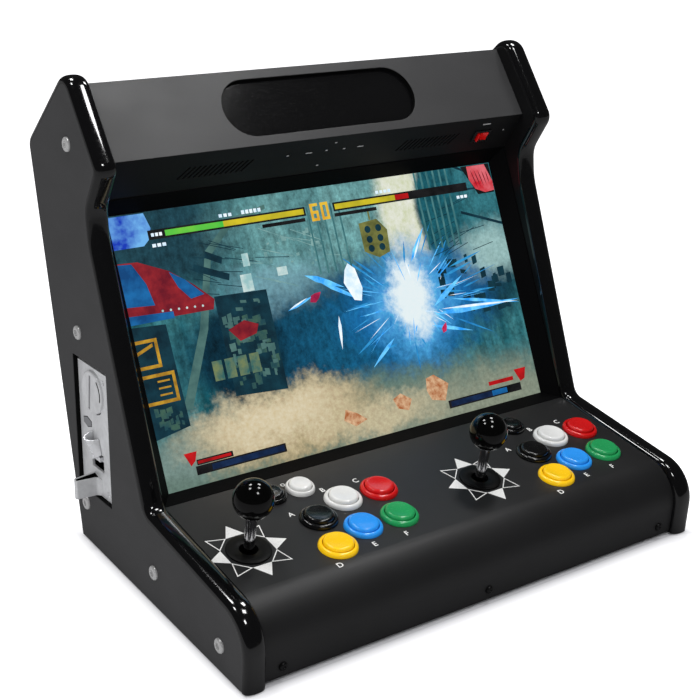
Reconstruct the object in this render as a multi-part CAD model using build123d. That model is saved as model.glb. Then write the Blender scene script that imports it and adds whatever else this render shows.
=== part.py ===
from build123d import *
import math
import os

# Two-player bartop arcade cabinet. Millimetres, +Z up, front towards -Y.
# Everything is drawn in the cabinet's own coordinates: x from the middle plane, y back from
# the front face and z up from the table. The last step moves it all, so that the origin is
# the middle of the footprint.

# Driving dimensions of the case
cabinet_width = 505.0
side_thickness = 20.0
foot_height = 1.5
board = 9.0  # marquee, speaker and top rear boards
rear_board = 5.0
base_board = 12.0
panel_gap = 0.25  # between the side panels and what sits between them
moulding_height = 6.5  # how far the edge moulding stands out of the side panel's edge
tongue_width = 2.0
tongue_depth = 8.0
control_slope = 6.4  # degrees
screen_recline = 27.15  # degrees back from upright
marquee_recess = 13.0  # behind the side panel's edge
marquee_slot = (214.0, 57.0)

# Side panel outline, corner by corner: y, z, rounding radius
side_corners = {
    "toe": (0.0, foot_height, 2.0),
    "nose": (0.0, 60.0, 32.0),
    "crease": (163.0, 78.3, 18.0),
    "brow_low": (259.5, 292.0, 70.0),
    "brow": (264.5, 322.0, 30.0),
    "lip": (244.5, 358.0, 7.0),
    "apex": (300.5, 425.0, 12.0),
    "shoulder": (373.5, 353.0, 8.0),
    "heel": (282.0, foot_height, 2.0),
}

# Screen
screen_width = 438.5  # lit area, 16:9
screen_height = screen_width * 9 / 16
screen_centre = (236.0, 192.5)  # y, z
bezel_depth = 14.0
bezel_top_margin = 12.0
bezel_bottom_margin = 9.6
lcd_thickness = 11.0
lcd_border = 6.0
housing_depth = 13.0

# Control panel
sheet = 2.0
control_rise = 3.0  # above the side panel's sloping edge
control_round = 38.0
control_bottom = 4.0
stick_x = 198.8
stick_y = 80.4
second_player_shift = 250.4

# Push buttons: name, x and y of player one's button, colour
big_buttons = [
    ("a", -121.0, 91.9, "black"),
    ("b", -84.7, 107.1, "white"),
    ("c", -46.0, 106.1, "red"),
    ("d", -128.5, 51.8, "yellow"),
    ("e", -92.6, 65.5, "blue"),
    ("f", -53.5, 65.4, "green"),
]
small_buttons = [
    ("p1_start", -110.0, 138.0, "white"),
    ("p1_coin", -139.5, 138.0, "black"),
    ("p2_start", 140.4, 138.0, "black"),
]
button_travel = 2.5
big_size = {"rim": 17.5, "barrel": 14.9, "bore": 13.7, "plunger": 13.3, "depth": 20.0}
small_size = {"rim": 13.6, "barrel": 11.8, "bore": 10.8, "plunger": 10.4, "depth": 18.0}
rim_height = 4.0
plunger_rise = 3.0  # of the plunger's top above the rim
plunger_rounding = 2.4
hole_gap = 0.3

# Joystick
ball_radius = 17.5
ball_height = 50.5  # of its centre above the panel
shaft_radius = 4.75
pivot_depth = 14.0  # of the tilt axes below the panel's top
washer_radius = 19.5
washer_thickness = 1.5
housing_size = 60.0
housing_height = 30.0

# Coin unit, on the left side
cutout_centre = (259.6, 118.0)  # y, z
cutout_width = 66.5
cutout_height = 127.0
cutout_lean = 3.5  # degrees
plate_recess = 4.7
plate_thickness = 2.5
plate_bottom = -cutout_height / 2 + 0.25
plate_top = 58.0
coin_boss = (-3.0, 35.0)  # centre of the round coin entry: across the plate, up the plate
boss_radius = 20.0
boss_height = 2.5
coin_slot = (3.4, 33.0)  # width, length
coin_slot_place = (-6.3, 34.3)
coin_slot_turn = -7.0  # degrees
reject_place = (-18.3, 1.8)
reject_half = (7.6, 4.6)
reject_travel = 3.0
dimple_places = [(18.0, 50.0), (18.5, -56.0)]
mouth_centre = -0.5  # of the return mouth, across the plate
mouth_width = 24.0
lever_pivot = -28.5
pivot_inset = 3.6  # of the lever's pin behind the plate's face
pin_radius = 1.0
mouth_top = lever_pivot + 6.5
mouth_bottom = -38.5
lever_wall = 1.5
cup_wall = 1.2
cup_rim = -42.8  # of its highest corner, up the plate
cup_rim_fall = 0.262  # of the rim per millimetre towards the front

# Speaker board fittings: places along x, and up the board from its lower edge
speaker_x = 120.5
fitting_row = 21.5
grille_slots = 13
grille_pitch = 5.4
rocker_x = 189.0
rocker_cut = (19.4, 13.2)
rocker_tilt = 8.0
display_row = 27.6
display_pitch = 20.5
display_middle = -4.0

inner_half = cabinet_width / 2 - side_thickness
panel_half = inner_half - panel_gap
bolt_places = [(295.5, 369.4), (283.5, 203.7), (273.3, 39.5), (143.8, 33.8), (34.3, 25.5)]
bolt_hole_radius = 3.2

front_screw_places = (-215.0, 0.0, 215.0)
rear_screw_radius = 1.6
inlet_x = -170.0
inlet_up = 60.0
gimbal_ring = {"outer": 11.0, "inner": 6.4, "height": 7.0}
gimbal_pin_radius = 2.0
pin_gap = 0.08

pieces = {}


def corner(name):
    y, z, radius = side_corners[name]
    return Vector(y, z)


def rounded_outline(corners):
    """A face in the sketch plane, with each corner (x, y, radius) rounded."""
    face = make_face(Polyline(*[(x, y) for x, y, radius in corners], close=True))
    for x, y, radius in corners:
        if radius:
            face = fillet(face.vertices().sort_by_distance((x, y))[0], radius)
    return face


def slab(face, x_from, x_to):
    """Extrude an outline given in y and z along x."""
    return extrude(Plane.YZ.offset(x_from) * face, x_to - x_from)


def meet(p, along_p, q, along_q):
    """Where the line through p meets the line through q."""
    cross = along_p.X * along_q.Y - along_p.Y * along_q.X
    reach = ((q.X - p.X) * along_q.Y - (q.Y - p.Y) * along_q.X) / cross
    return p + along_p * reach


def box_between(low, high):
    size = [b - a for a, b in zip(low, high)]
    middle = [(a + b) / 2 for a, b in zip(low, high)]
    return Pos(*middle) * Box(*size)


def mirror_x(shape):
    return mirror(shape, about=Plane.YZ)


# Planes that the fittings are placed on: sketch x is the cabinet's x, sketch y runs up the face
slope = math.radians(control_slope)
recline = math.radians(screen_recline)
control_plane = Plane(
    origin=(0, stick_y, 60.0 + math.tan(slope) * stick_y + control_rise),
    x_dir=(1, 0, 0),
    z_dir=(0, -math.sin(slope), math.cos(slope)),
)
screen_plane = Plane(
    origin=(0, *screen_centre),
    x_dir=(1, 0, 0),
    z_dir=(0, -math.cos(recline), math.sin(recline)),
)
lean = math.radians(cutout_lean)
coin_plane = Plane(
    origin=(-cabinet_width / 2 + plate_recess, *cutout_centre),
    x_dir=(0, -math.cos(lean), math.sin(lean)),
    z_dir=(-1, 0, 0),
)


def on_control(x, y, height=0.0):
    """A location on the control panel at the cabinet's x and y."""
    return control_plane.location * Pos(x, (y - stick_y) / math.cos(slope), height)


def screen_point(up, out):
    """The y and z of a point given up the screen and out of it."""
    y, z = screen_centre
    return Vector(
        y + up * math.sin(recline) - out * math.cos(recline),
        z + up * math.cos(recline) + out * math.sin(recline),
    )


# Case outline between the side panels, front to back: each board's outer face runs between two
# of these points, and neighbouring boards meet on a mitre
marquee_along = (corner("apex") - corner("lip")).normalized()
marquee_out = Vector(-marquee_along.Y, marquee_along.X)
rear_along = (corner("heel") - corner("shoulder")).normalized()
top_along = (corner("shoulder") - corner("apex")).normalized()
speaker_foot = screen_point(screen_height / 2 + bezel_top_margin, bezel_depth)
marquee_foot = corner("lip") - marquee_out * marquee_recess + marquee_along * 11.5
marquee_top = meet(marquee_foot, marquee_along, corner("apex"), top_along)
rear_inset = Vector(rear_along.Y, -rear_along.X)
rear_top = meet(corner("apex"), top_along, corner("shoulder") + rear_inset, rear_along)
rear_foot = meet(rear_top, rear_along, Vector(0, foot_height + 1), Vector(1, 0))
case_line = [speaker_foot, marquee_foot, marquee_top, rear_top, rear_foot]
case_boards = [board, board, board, rear_board]
speaker_along = (marquee_foot - speaker_foot).normalized()
speaker_plane = Plane(
    origin=(0, speaker_foot.X, speaker_foot.Y),
    x_dir=(1, 0, 0),
    z_dir=(0, -speaker_along.Y, speaker_along.X),
)
marquee_plane = Plane(
    origin=(0, marquee_foot.X, marquee_foot.Y),
    x_dir=(1, 0, 0),
    z_dir=(0, -marquee_along.Y, marquee_along.X),
)
rear_plane = Plane(
    origin=(0, rear_foot.X, rear_foot.Y),
    x_dir=(-1, 0, 0),
    z_dir=(0, -rear_along.Y, rear_along.X),
)


def case_board(index):
    """One board of the case, mitred where it meets the next."""
    inner_starts = []
    alongs = []
    for i, thickness in enumerate(case_boards):
        along = (case_line[i + 1] - case_line[i]).normalized()
        inward = Vector(along.Y, -along.X)
        inner_starts.append(case_line[i] + inward * thickness)
        alongs.append(along)
    first = inner_starts[index]
    if index > 0:
        first = meet(inner_starts[index - 1], alongs[index - 1], first, alongs[index])
    last = case_line[index + 1] + (inner_starts[index] - case_line[index])
    if index + 1 < len(case_boards):
        last = meet(inner_starts[index], alongs[index], inner_starts[index + 1], alongs[index + 1])
    outline = Polyline(
        *[(p.X, p.Y) for p in (case_line[index], case_line[index + 1], last, first)], close=True
    )
    return slab(make_face(outline), -panel_half, panel_half)


def side_outline():
    return rounded_outline(list(side_corners.values()))


def side_panel():
    """The right-hand side panel: a board with a groove all round for the moulding's tongue."""
    outline = side_outline()
    outer = cabinet_width / 2
    panel = slab(outline, inner_half, outer)
    middle = (inner_half + outer) / 2
    core = offset(outline, -tongue_depth - 0.5)
    half_groove = tongue_width / 2 + 0.1
    panel -= slab(outline, middle - half_groove, middle + half_groove)
    panel += slab(core, middle - half_groove, middle + half_groove)
    for y, z in bolt_places:
        panel -= Pos(inner_half + side_thickness / 2, y, z) * Rot(0, 90, 0) * Cylinder(
            bolt_hole_radius, side_thickness * 2
        )
    return panel


def coin_cutout():
    return coin_plane * Box(cutout_width, cutout_height, side_thickness * 4)


def edge_moulding():
    """The right-hand moulding: a domed strip over the front, top and back edges, with a tongue."""
    outline = side_outline()
    outer = cabinet_width / 2
    strip = slab(offset(outline, moulding_height), inner_half, outer)
    strip -= box_between((0, -50, -50), (cabinet_width, 500, foot_height))
    rims = [e for e in strip.edges() if e.center().Z > foot_height + 0.1]
    rims = [e for e in rims if abs(e.center().X - inner_half) < 0.01 or abs(e.center().X - outer) < 0.01]
    strip = fillet(rims, moulding_height - 0.6)
    strip -= slab(outline, inner_half - 1, outer + 1)
    middle = (inner_half + outer) / 2
    tongue = slab(outline, middle - tongue_width / 2, middle + tongue_width / 2)
    tongue -= slab(offset(outline, -tongue_depth), inner_half - 1, outer + 1)
    tongue -= box_between((0, -50, -50), (cabinet_width, 500, foot_height + tongue_depth + 0.5))
    below = box_between((0, 20, -50), (cabinet_width, 270, foot_height + tongue_depth))
    return (strip + tongue) - below


def control_sheet():
    """The folded sheet: front face, rounded nose and sloping top."""
    end = screen_point(-screen_height / 2 - bezel_bottom_margin, bezel_depth).X - 0.2
    top_z = 60.0 + control_rise

    def wedge(inset, radius):
        rise = math.tan(slope)
        drop = inset / math.cos(slope)
        corners = [
            (inset, control_bottom - inset, 0),
            (inset, top_z - drop + rise * inset, radius),
            (end + inset, top_z - drop + rise * (end + inset), 0),
            (end + inset, control_bottom - inset, 0),
        ]
        return rounded_outline(corners)

    panel = slab(wedge(0, control_round), -panel_half, panel_half)
    panel -= slab(wedge(sheet, control_round - sheet), -inner_half, inner_half)
    for name, x, y, colour, size in all_buttons():
        panel -= on_control(x, y) * Cylinder(size["barrel"] + hole_gap, sheet * 5)
    for x in stick_places().values():
        panel -= on_control(x, stick_y) * Cylinder(12.0, sheet * 5)
    for x in front_screw_places:
        panel -= Pos(x, 0, 13.0) * Rot(90, 0, 0) * Cylinder(2.2, 10)
    return panel


def all_buttons():
    """Every push button as name, x, y, colour, size."""
    found = []
    for player, shift in (("p1", 0.0), ("p2", second_player_shift)):
        for letter, x, y, colour in big_buttons:
            found.append((f"{player}_button_{letter}", x + shift, y, colour, big_size))
    for name, x, y, colour in small_buttons:
        found.append((f"{name}_button", x, y, colour, small_size))
    return found


def button_collar(size):
    """The fixed part of a push button: a rounded rim on a barrel."""
    rim = Pos(0, 0, rim_height / 2) * Cylinder(size["rim"], rim_height)
    rim = fillet(rim.edges().sort_by(Axis.Z)[-1], rim_height - 0.5)
    barrel = Pos(0, 0, -size["depth"] / 2) * Cylinder(size["barrel"], size["depth"])
    bore = Cylinder(size["bore"], size["depth"] * 3)
    nut = Pos(0, 0, -sheet - 2.5) * Cylinder(size["barrel"] + 2.2, 5.0)
    return rim + barrel + nut - bore


def button_plunger(size):
    """The moving part: a shallow domed cap with a skirt inside the barrel."""
    top = rim_height + plunger_rise
    skirt = size["depth"] - 6.0
    body = Pos(0, 0, (top - skirt) / 2) * Cylinder(size["plunger"], top + skirt)
    body = fillet(body.edges().sort_by(Axis.Z)[-1], plunger_rounding)
    return body


def microswitch():
    """A switch under a button, its top just clear of the pressed plunger."""
    return Pos(0, 0, -4.0) * Box(6.4, 19.8, 8.0)


def button_switches():
    switches = []
    for name, x, y, colour, size in all_buttons():
        holder = microswitch() + Pos(0, 0, 0.9) * Box(size["barrel"] * 2 - 0.4, 7.0, 1.8)
        switches.append(on_control(x, y, -size["depth"] - 1.8) * holder)
    return switches


def stick_places():
    return {"p1": -stick_x, "p2": second_player_shift - stick_x}


def stick_pivot(x):
    return on_control(x, stick_y, -pivot_depth)


def joystick_housing():
    """Body under the panel, drawn about the pivot: a square box open through its middle."""
    under_panel = pivot_depth - sheet
    body = Pos(0, 0, under_panel - housing_height / 2) * Box(housing_size, housing_size, housing_height)
    body = fillet(body.edges().filter_by(Axis.Z), 4.0)
    flange = Pos(0, 0, under_panel - 0.8) * Box(64, 68, 1.6)
    body = body + flange - Cylinder(15.5, housing_height * 2)
    for side in (-1, 1):
        body += Pos(side * 13.8, 0, 0) * Box(4.0, 10.0, 10.0)
    body -= Rot(0, 90, 0) * Cylinder(gimbal_pin_radius + pin_gap, 40)
    return body


def joystick_gimbal():
    """The ring that tilts front to back on two pins in the housing."""
    ring = Cylinder(gimbal_ring["outer"], gimbal_ring["height"])
    ring -= Cylinder(gimbal_ring["inner"], gimbal_ring["height"] * 2)
    for side in (-1, 1):
        ring += Pos(side * 13.2, 0, 0) * Rot(0, 90, 0) * Cylinder(gimbal_pin_radius, 5.0)
    ring -= Rot(90, 0, 0) * Cylinder(gimbal_pin_radius + pin_gap, 40)
    return ring


def joystick_shaft():
    """The steel shaft: cross pins in the gimbal and an actuator between the switches."""
    top = pivot_depth + ball_height - ball_radius + 6.0
    bottom = -13.0
    shaft = Pos(0, 0, (top + bottom) / 2) * Cylinder(shaft_radius, top - bottom)
    shaft += Rot(90, 0, 0) * Cylinder(gimbal_pin_radius, 2 * gimbal_ring["outer"] - 1)
    shaft += Pos(0, 0, bottom - 3.0) * Cylinder(7.0, 7.0)
    return shaft


def joystick_ball():
    ball = Pos(0, 0, pivot_depth + ball_height) * Sphere(ball_radius)
    top = pivot_depth + ball_height - ball_radius + 6.0
    ball -= Pos(0, 0, top / 2) * Cylinder(shaft_radius, top)
    return ball


def dust_washer():
    washer = Pos(0, 0, pivot_depth + washer_thickness / 2) * Cylinder(washer_radius, washer_thickness)
    washer = fillet(washer.edges().sort_by(Axis.Z)[-1], 0.6)
    return washer - Pos(0, 0, pivot_depth) * Cylinder(8.6, 20)


def stick_switches():
    """Four switches round the actuator, below the gimbal."""
    switches = []
    for x in stick_places().values():
        for turn in range(4):
            block = Rot(0, 0, 90 * turn) * Pos(12.4, 0, -14.0) * Box(4.0, 10.0, 6.4)
            switches.append(stick_pivot(x) * block)
    return switches


def screen_bezel():
    """A picture frame whose faces slope in to the lit area."""
    half_w = screen_width / 2
    half_h = screen_height / 2
    low = -half_h - bezel_bottom_margin
    high = half_h + bezel_top_margin
    frame = Pos(0, (low + high) / 2, bezel_depth / 2) * Box(2 * panel_half, high - low, bezel_depth)
    front = Pos(0, (low + high) / 2, bezel_depth + 0.1) * Rectangle(2 * panel_half - 1.6, high - low - 1.6)
    back = Pos(0, 0, -0.1) * Rectangle(screen_width, screen_height)
    frame -= loft([back, front])
    return screen_plane * frame


def lcd_panel():
    size_w = screen_width + 2 * lcd_border
    size_h = screen_height + 2 * lcd_border
    return screen_plane * Pos(0, 0, -lcd_thickness / 2) * Box(size_w, size_h, lcd_thickness)


def monitor_housing():
    """The steel casing over the screen's electronics, with a row of louvres."""
    back = -lcd_thickness - housing_depth
    width = 300.0
    height = 180.0
    wall = 1.2
    casing = Pos(0, 0, back + housing_depth / 2) * Box(width, height, housing_depth)
    casing = fillet(casing.faces().sort_by(Axis.Z)[0].edges(), 3.0)
    hollow = Box(width - 2 * wall, height - 2 * wall, housing_depth)
    casing -= Pos(0, 0, back + housing_depth / 2 + wall) * hollow
    for i in range(9):
        casing -= Pos((i - 4) * 16, 40, back) * Box(4, 50, 6)
    return screen_plane * casing


def marquee_panel():
    """The front board of the top, with a stadium window cut through it."""
    panel = case_board(1)
    middle = (marquee_top - marquee_foot).length / 2
    window = SlotOverall(*marquee_slot)
    return panel - marquee_plane * Pos(0, middle, -20) * extrude(window, 40)


def marquee_window():
    middle = (marquee_top - marquee_foot).length / 2
    pane = extrude(SlotOverall(marquee_slot[0] - 0.3, marquee_slot[1] - 0.3), 2.5)
    return marquee_plane * Pos(0, middle, -7.0) * pane


def speaker_board():
    """The board under the marquee, with the speaker grilles and the rocker's cut-out."""
    panel = case_board(0)
    slot = extrude(SlotOverall(17.0, 2.2, rotation=55), 40)
    for side in (-1, 1):
        for i in range(grille_slots):
            x = side * speaker_x + (i - (grille_slots - 1) / 2) * grille_pitch
            panel -= speaker_plane * Pos(x, fitting_row, -20) * slot
    panel -= speaker_plane * Pos(rocker_x, fitting_row, 0) * Box(*rocker_cut, 60)
    for x in display_places():
        panel -= speaker_plane * Pos(x, display_row, 0) * Cylinder(2.4, 60)
    return panel


def display_places():
    return [display_middle + (i - 2) * display_pitch for i in range(5)]


def display_buttons():
    """Five small push caps of the screen's control board, flush with the board."""
    caps = []
    for x in display_places():
        caps.append(speaker_plane * Pos(x, display_row, -board / 2 + 0.3) * Cylinder(2.1, board + 0.6))
    strip = speaker_plane * Pos(display_middle, display_row, -board - 1.0) * Box(100.0, 12.0, 2.0)
    joined = strip
    for cap in caps:
        joined += cap
    return joined


def speakers():
    """Two oval speakers behind the grilles."""
    both = []
    for side in (-1, 1):
        frame = extrude(SlotOverall(74.0, 34.0), 3.0)
        cone = Pos(0, 0, 3.0) * extrude(SlotOverall(60.0, 26.0), 8.0)
        magnet = Pos(0, 0, 11.0) * extrude(Circle(11.0), 5.0)
        speaker = frame + cone + magnet
        place = speaker_plane * Pos(side * speaker_x, fitting_row, -board)
        both.append(place * Rot(180, 0, 0) * speaker)
    return both


def rocker_frame():
    """The power switch's bezel and body."""
    width, height = rocker_cut
    rim = Pos(0, 0, 0.9) * Box(21.4, 15.2, 1.8)
    rim = fillet(rim.edges().filter_by(Axis.Z), 1.0)
    body = Pos(0, 0, -8.0) * Box(width - 0.4, height - 0.4, 16.0)
    well = Pos(0, 0, -2.0) * Box(15.4, 10.4, 12.0)
    return speaker_plane * Pos(rocker_x, fitting_row, 0) * (rim + body - well)


def power_rocker():
    """The rocker itself, a shallow V seen from its side, pivoting below the bezel's face."""
    half = 7.0
    lift = 2.4
    corners = [(-half, 1.0 + lift), (0, 1.4), (half, 1.0 + lift)]
    corners += [(half - 0.8, -1.2), (0, -4.0), (-half + 0.8, -1.2)]
    profile = Polyline(*corners, close=True)
    cap = extrude(Plane.XZ.offset(-4.9) * make_face(profile), 9.8)
    cap = Rot(0, rocker_tilt, 0) * cap
    return speaker_plane * Pos(rocker_x, fitting_row, 0) * cap


def base_panel():
    low_y = sheet + 0.3
    back = rear_foot.X - rear_board - 4.0
    return box_between((-panel_half, low_y, foot_height), (panel_half, back, foot_height + base_board))


def rear_panel():
    """The rear board, with vents and the power inlet's cut-out."""
    panel = case_board(3)
    for row in range(2):
        for i in range(15):
            slot = Pos((i - 7) * 14, 230 + row * 60, -20) * extrude(SlotOverall(44, 4, rotation=90), 40)
            panel -= rear_plane * slot
    panel -= rear_plane * Pos(inlet_x, inlet_up, 0) * Box(27.6, 20.2, 60)
    for place in rear_screw_places():
        panel -= place * Cylinder(rear_screw_radius, 60)
    return panel


def rear_screw_places():
    rear_height = (rear_top - rear_foot).length
    ups = (12.0, rear_height - 12.0)
    return [rear_plane.location * Pos(x, up, 0) for x in front_screw_places for up in ups]


def power_inlet():
    """A three-pin appliance inlet: flange, body and pins."""
    flange = Pos(0, 0, 1.25) * Box(50.0, 24.0, 2.5)
    flange = fillet(flange.edges().filter_by(Axis.Z), 3.0)
    body = Pos(0, 0, -9.0) * Box(27.2, 19.8, 18.0)
    inlet = flange + body - Pos(0, 0, -4.75) * Box(24.2, 16.4, 14.5)
    for x, up in ((-7.0, -1.5), (7.0, -1.5), (0.0, 2.5)):
        inlet += Pos(x, up, -9.0) * Box(2.0, 4.0, 12.0)
    return rear_plane * Pos(inlet_x, inlet_up, 0) * inlet


def cross_rails():
    """Wooden rails between the side panels, which the side bolts screw into."""
    rails = []
    for i, (y, z) in enumerate(bolt_places):
        rail = Box(2 * panel_half, 18.0, 18.0)
        if i == 0:
            rail = Rot(45, 0, 0) * Box(2 * panel_half, 14.0, 14.0)
        if i == 1:
            rail = Rot(-screen_recline, 0, 0) * Box(2 * panel_half, 18.0, 18.0)
        rail = Pos(0, y, z) * rail
        for side in (-1, 1):
            rail -= Pos(side * (panel_half - 8), y, z) * Rot(0, 90, 0) * Cylinder(3.0, 40)
        rails.append(rail)
    return rails


def side_bolts():
    """Machine screws through the side panels into the rails."""
    bolts = []
    for side in (-1, 1):
        for y, z in bolt_places:
            head = Cylinder(6.5, 2.6)
            head = fillet(head.edges().sort_by(Axis.Z)[-1], 1.6)
            head = Pos(0, 0, 1.3) * head
            head -= Pos(0, 0, 2.2) * extrude(RegularPolygon(2.3, 6), 3)
            bolt = head + Pos(0, 0, -16) * Cylinder(3.0, 32)
            place = Pos(side * cabinet_width / 2, y, z) * Rot(0, 90 * side, 0)
            bolts.append(place * bolt)
    return bolts


def screw(head_radius, head_height, length, radius):
    head = Pos(0, 0, head_height / 2) * Cylinder(head_radius, head_height)
    head = fillet(head.edges().sort_by(Axis.Z)[-1], head_height * 0.7)
    head -= Pos(0, 0, head_height) * Box(head_radius * 1.1, 1.0, head_height)
    head -= Pos(0, 0, head_height) * Box(1.0, head_radius * 1.1, head_height)
    return head + Pos(0, 0, -length / 2) * Cylinder(radius, length)


def panel_screws():
    """Black screws of the control panel's front edge and of the rear board."""
    screws = []
    for x in front_screw_places:
        screws.append(Pos(x, 0, 13.0) * Rot(90, 0, 0) * screw(4.0, 2.4, 2.0, 2.0))
    for place in rear_screw_places():
        screws.append(place * screw(4.0, 2.0, rear_board, rear_screw_radius))
    return screws


def rubber_feet():
    feet = []
    for x in (-200.0, 200.0):
        for y in (30.0, 240.0):
            feet.append(Pos(x, y, foot_height / 2) * Cylinder(14.0, foot_height))
    return feet


# Outlines of the thumb scoop at its top and at its foot, and of the cup: across the plate, out of it
scoop_top = [(-9.0, 0.0), (-8.4, 7.5), (-6.0, 10.8), (-2.6, 10.2), (1.6, 5.6), (4.0, 0.0)]
scoop_foot = [(-8.0, 0.0), (-7.9, 2.6), (-6.2, 3.6), (-1.0, 3.5), (5.0, 2.8), (9.0, 0.0)]
cup_corners = [(-7.0, 0.0, 0.0), (-4.2, 23.0, 1.8), (0.6, 23.0, 1.8), (2.0, 3.0, 3.0), (7.0, 0.0, 0.0)]


def scoop_section(outline, height, fall_across, fall_out, wall, lift):
    """A section of the scoop in a slanting plane, drawn in by the wall and lifted."""
    middle = (outline[0][0] + outline[-1][0]) / 2
    points = []
    for u, w in outline:
        inward = Vector(middle - u, -w).normalized() * wall
        across, out = u + inward.X, w + inward.Y
        v = height - fall_across * (across - outline[0][0]) - fall_out * out + lift
        points.append((across, v, out))
    return make_face([Spline(*points), Line(points[-1], points[0])])


def scoop_body(wall, top_lift, foot_lift):
    """The scoop's outside, or with a wall its hollow: both ends slant across the plate and out of it."""
    top = scoop_section(scoop_top, height=-2.8, fall_across=0.43, fall_out=0.29, wall=wall, lift=top_lift)
    foot = scoop_section(scoop_foot, height=-29.5, fall_across=-0.5, fall_out=0.35, wall=wall, lift=foot_lift)
    return loft([top, foot])


def return_cup():
    """The cup under the return mouth: a pointed shell with a slanting rim."""
    across_plate = Plane(origin=(0, plate_bottom + 1.0, 0), x_dir=(1, 0, 0), z_dir=(0, -1, 0))
    outline = rounded_outline(cup_corners)
    shell = extrude(across_plate * outline, -(cup_rim - plate_bottom))
    hollow = extrude(across_plate * offset(outline, -cup_wall), -(cup_rim - plate_bottom))
    cup = shell - Pos(0, cup_wall, 0) * hollow
    rim_plane = Plane(
        origin=(cup_corners[0][0], cup_rim, 0), x_dir=(1, -cup_rim_fall, 0), z_dir=(cup_rim_fall, 1, 0)
    )
    return cup - rim_plane * Pos(0, 0, 20) * Box(100, 100, 40)


def coin_plate():
    """The die-cast face: round coin entry, reject button hole, return mouth and return cup."""
    height = plate_top - plate_bottom
    plate = Pos(0, (plate_top + plate_bottom) / 2, -plate_thickness / 2) * Box(
        cutout_width - 0.5, height, plate_thickness
    )
    boss = Pos(*coin_boss, boss_height / 2) * Cylinder(boss_radius, boss_height)
    plate += fillet(boss.edges().sort_by(Axis.Z)[-1], 1.8)
    plate -= Pos(*coin_slot_place, 0) * Rot(0, 0, coin_slot_turn) * Box(*coin_slot, 20)
    plate -= Pos(*reject_place, 0) * extrude(reject_outline(0.6), 20, both=True)
    for place in dimple_places:
        plate -= Pos(*place, 0) * Cylinder(2.2, 1.4)
    mouth_height = mouth_top - mouth_bottom
    plate -= Pos(mouth_centre, (mouth_top + mouth_bottom) / 2, 0) * Box(mouth_width, mouth_height, 20)
    for side in (-1, 1):
        plate += Pos(mouth_centre + side * 14.0, lever_pivot, -4.0) * Box(3.6, 7.0, 5.0)
    plate -= Pos(mouth_centre, lever_pivot, -pivot_inset) * Rot(0, 90, 0) * Cylinder(pin_radius + 0.3, 40)
    return coin_plane * (plate + return_cup())


def reject_outline(gap):
    """A flattened diamond with short upright ends."""
    half_w, half_h = (half + gap for half in reject_half)
    end = half_h / 2
    points = [(-half_w, end), (0, half_h), (half_w, end), (half_w, -end), (0, -half_h), (-half_w, -end)]
    return make_face(Polyline(*points, close=True))


def coin_reject_button():
    return coin_plane * Pos(*reject_place, -7.0) * extrude(reject_outline(0), 7.4)


def coin_return_lever():
    """The chrome thumb scoop: open at its top, hinged at its foot inside the mouth."""
    scoop = scoop_body(0, 0, 0) - scoop_body(lever_wall, 0.4, lever_wall)
    scoop -= Pos(0, 0, -25.0 + 0.4) * Box(60, 200, 50)
    arm = Pos(mouth_centre, lever_pivot + 1.6, -0.9) * Box(14.0, 4.4, 4.2)
    barrel = Pos(mouth_centre, lever_pivot, -pivot_inset) * Rot(0, 90, 0) * Cylinder(2.2, 23.0)
    pins = Pos(mouth_centre, lever_pivot, -pivot_inset) * Rot(0, 90, 0) * Cylinder(pin_radius, 31.0)
    return coin_plane * (scoop + arm + barrel + pins)


def coin_selector():
    """The selector body behind the plate, with a flange on the side panel's inner face."""
    inside = side_thickness - plate_recess
    width, length = coin_slot
    u, v = coin_slot_place
    middle = (plate_top + plate_bottom) / 2
    neck_depth = inside - plate_thickness
    neck = Pos(0, middle + 14, -plate_thickness - neck_depth / 2) * Box(58.0, 90.0, neck_depth)
    flange = Pos(5, -24, -inside - 1.0) * Box(70.0, 88.0, 2.0)
    body = Pos(-6, 6, -inside - 22.0) * Box(44.0, 84.0, 44.0)
    unit = neck + flange + body
    unit -= Pos(u, v, -20) * Rot(0, 0, coin_slot_turn) * Box(width + 0.6, length + 1, 50)
    unit -= Pos(u, -10, -inside - 20) * Box(width + 0.6, 90, 30)
    unit -= Pos(*reject_place, -plate_thickness - 5.0) * Box(22.0, 13.0, 12.0)
    chute_middle = -plate_thickness - neck_depth / 2
    unit -= Pos(mouth_centre, lever_pivot - 3, chute_middle) * Box(34.0, 26.0, neck_depth * 4)
    return coin_plane * unit


def coin_box():
    """An open tray on the base, under the selector."""
    outer = box_between((-226, 188, foot_height + base_board), (-150, 262, foot_height + base_board + 30))
    inner = box_between((-224, 190, foot_height + base_board + 2), (-152, 260, 99))
    return outer - inner


def game_board():
    floor = foot_height + base_board
    board_plate = box_between((-70, 165, floor + 8), (60, 265, floor + 9.6))
    for x in (-64, 54):
        for y in (171, 259):
            board_plate += Pos(x, y, floor + 4) * Cylinder(3.0, 8.0)
    board_plate += box_between((-30, 195, floor + 9.6), (10, 235, floor + 22))
    board_plate += box_between((-66, 240, floor + 9.6), (-20, 262, floor + 20))
    return board_plate


def power_supply():
    floor = foot_height + base_board
    case = box_between((110, 160, floor), (208, 258, floor + 38))
    return fillet(case.edges().filter_by(Axis.Z), 1.5)


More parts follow.
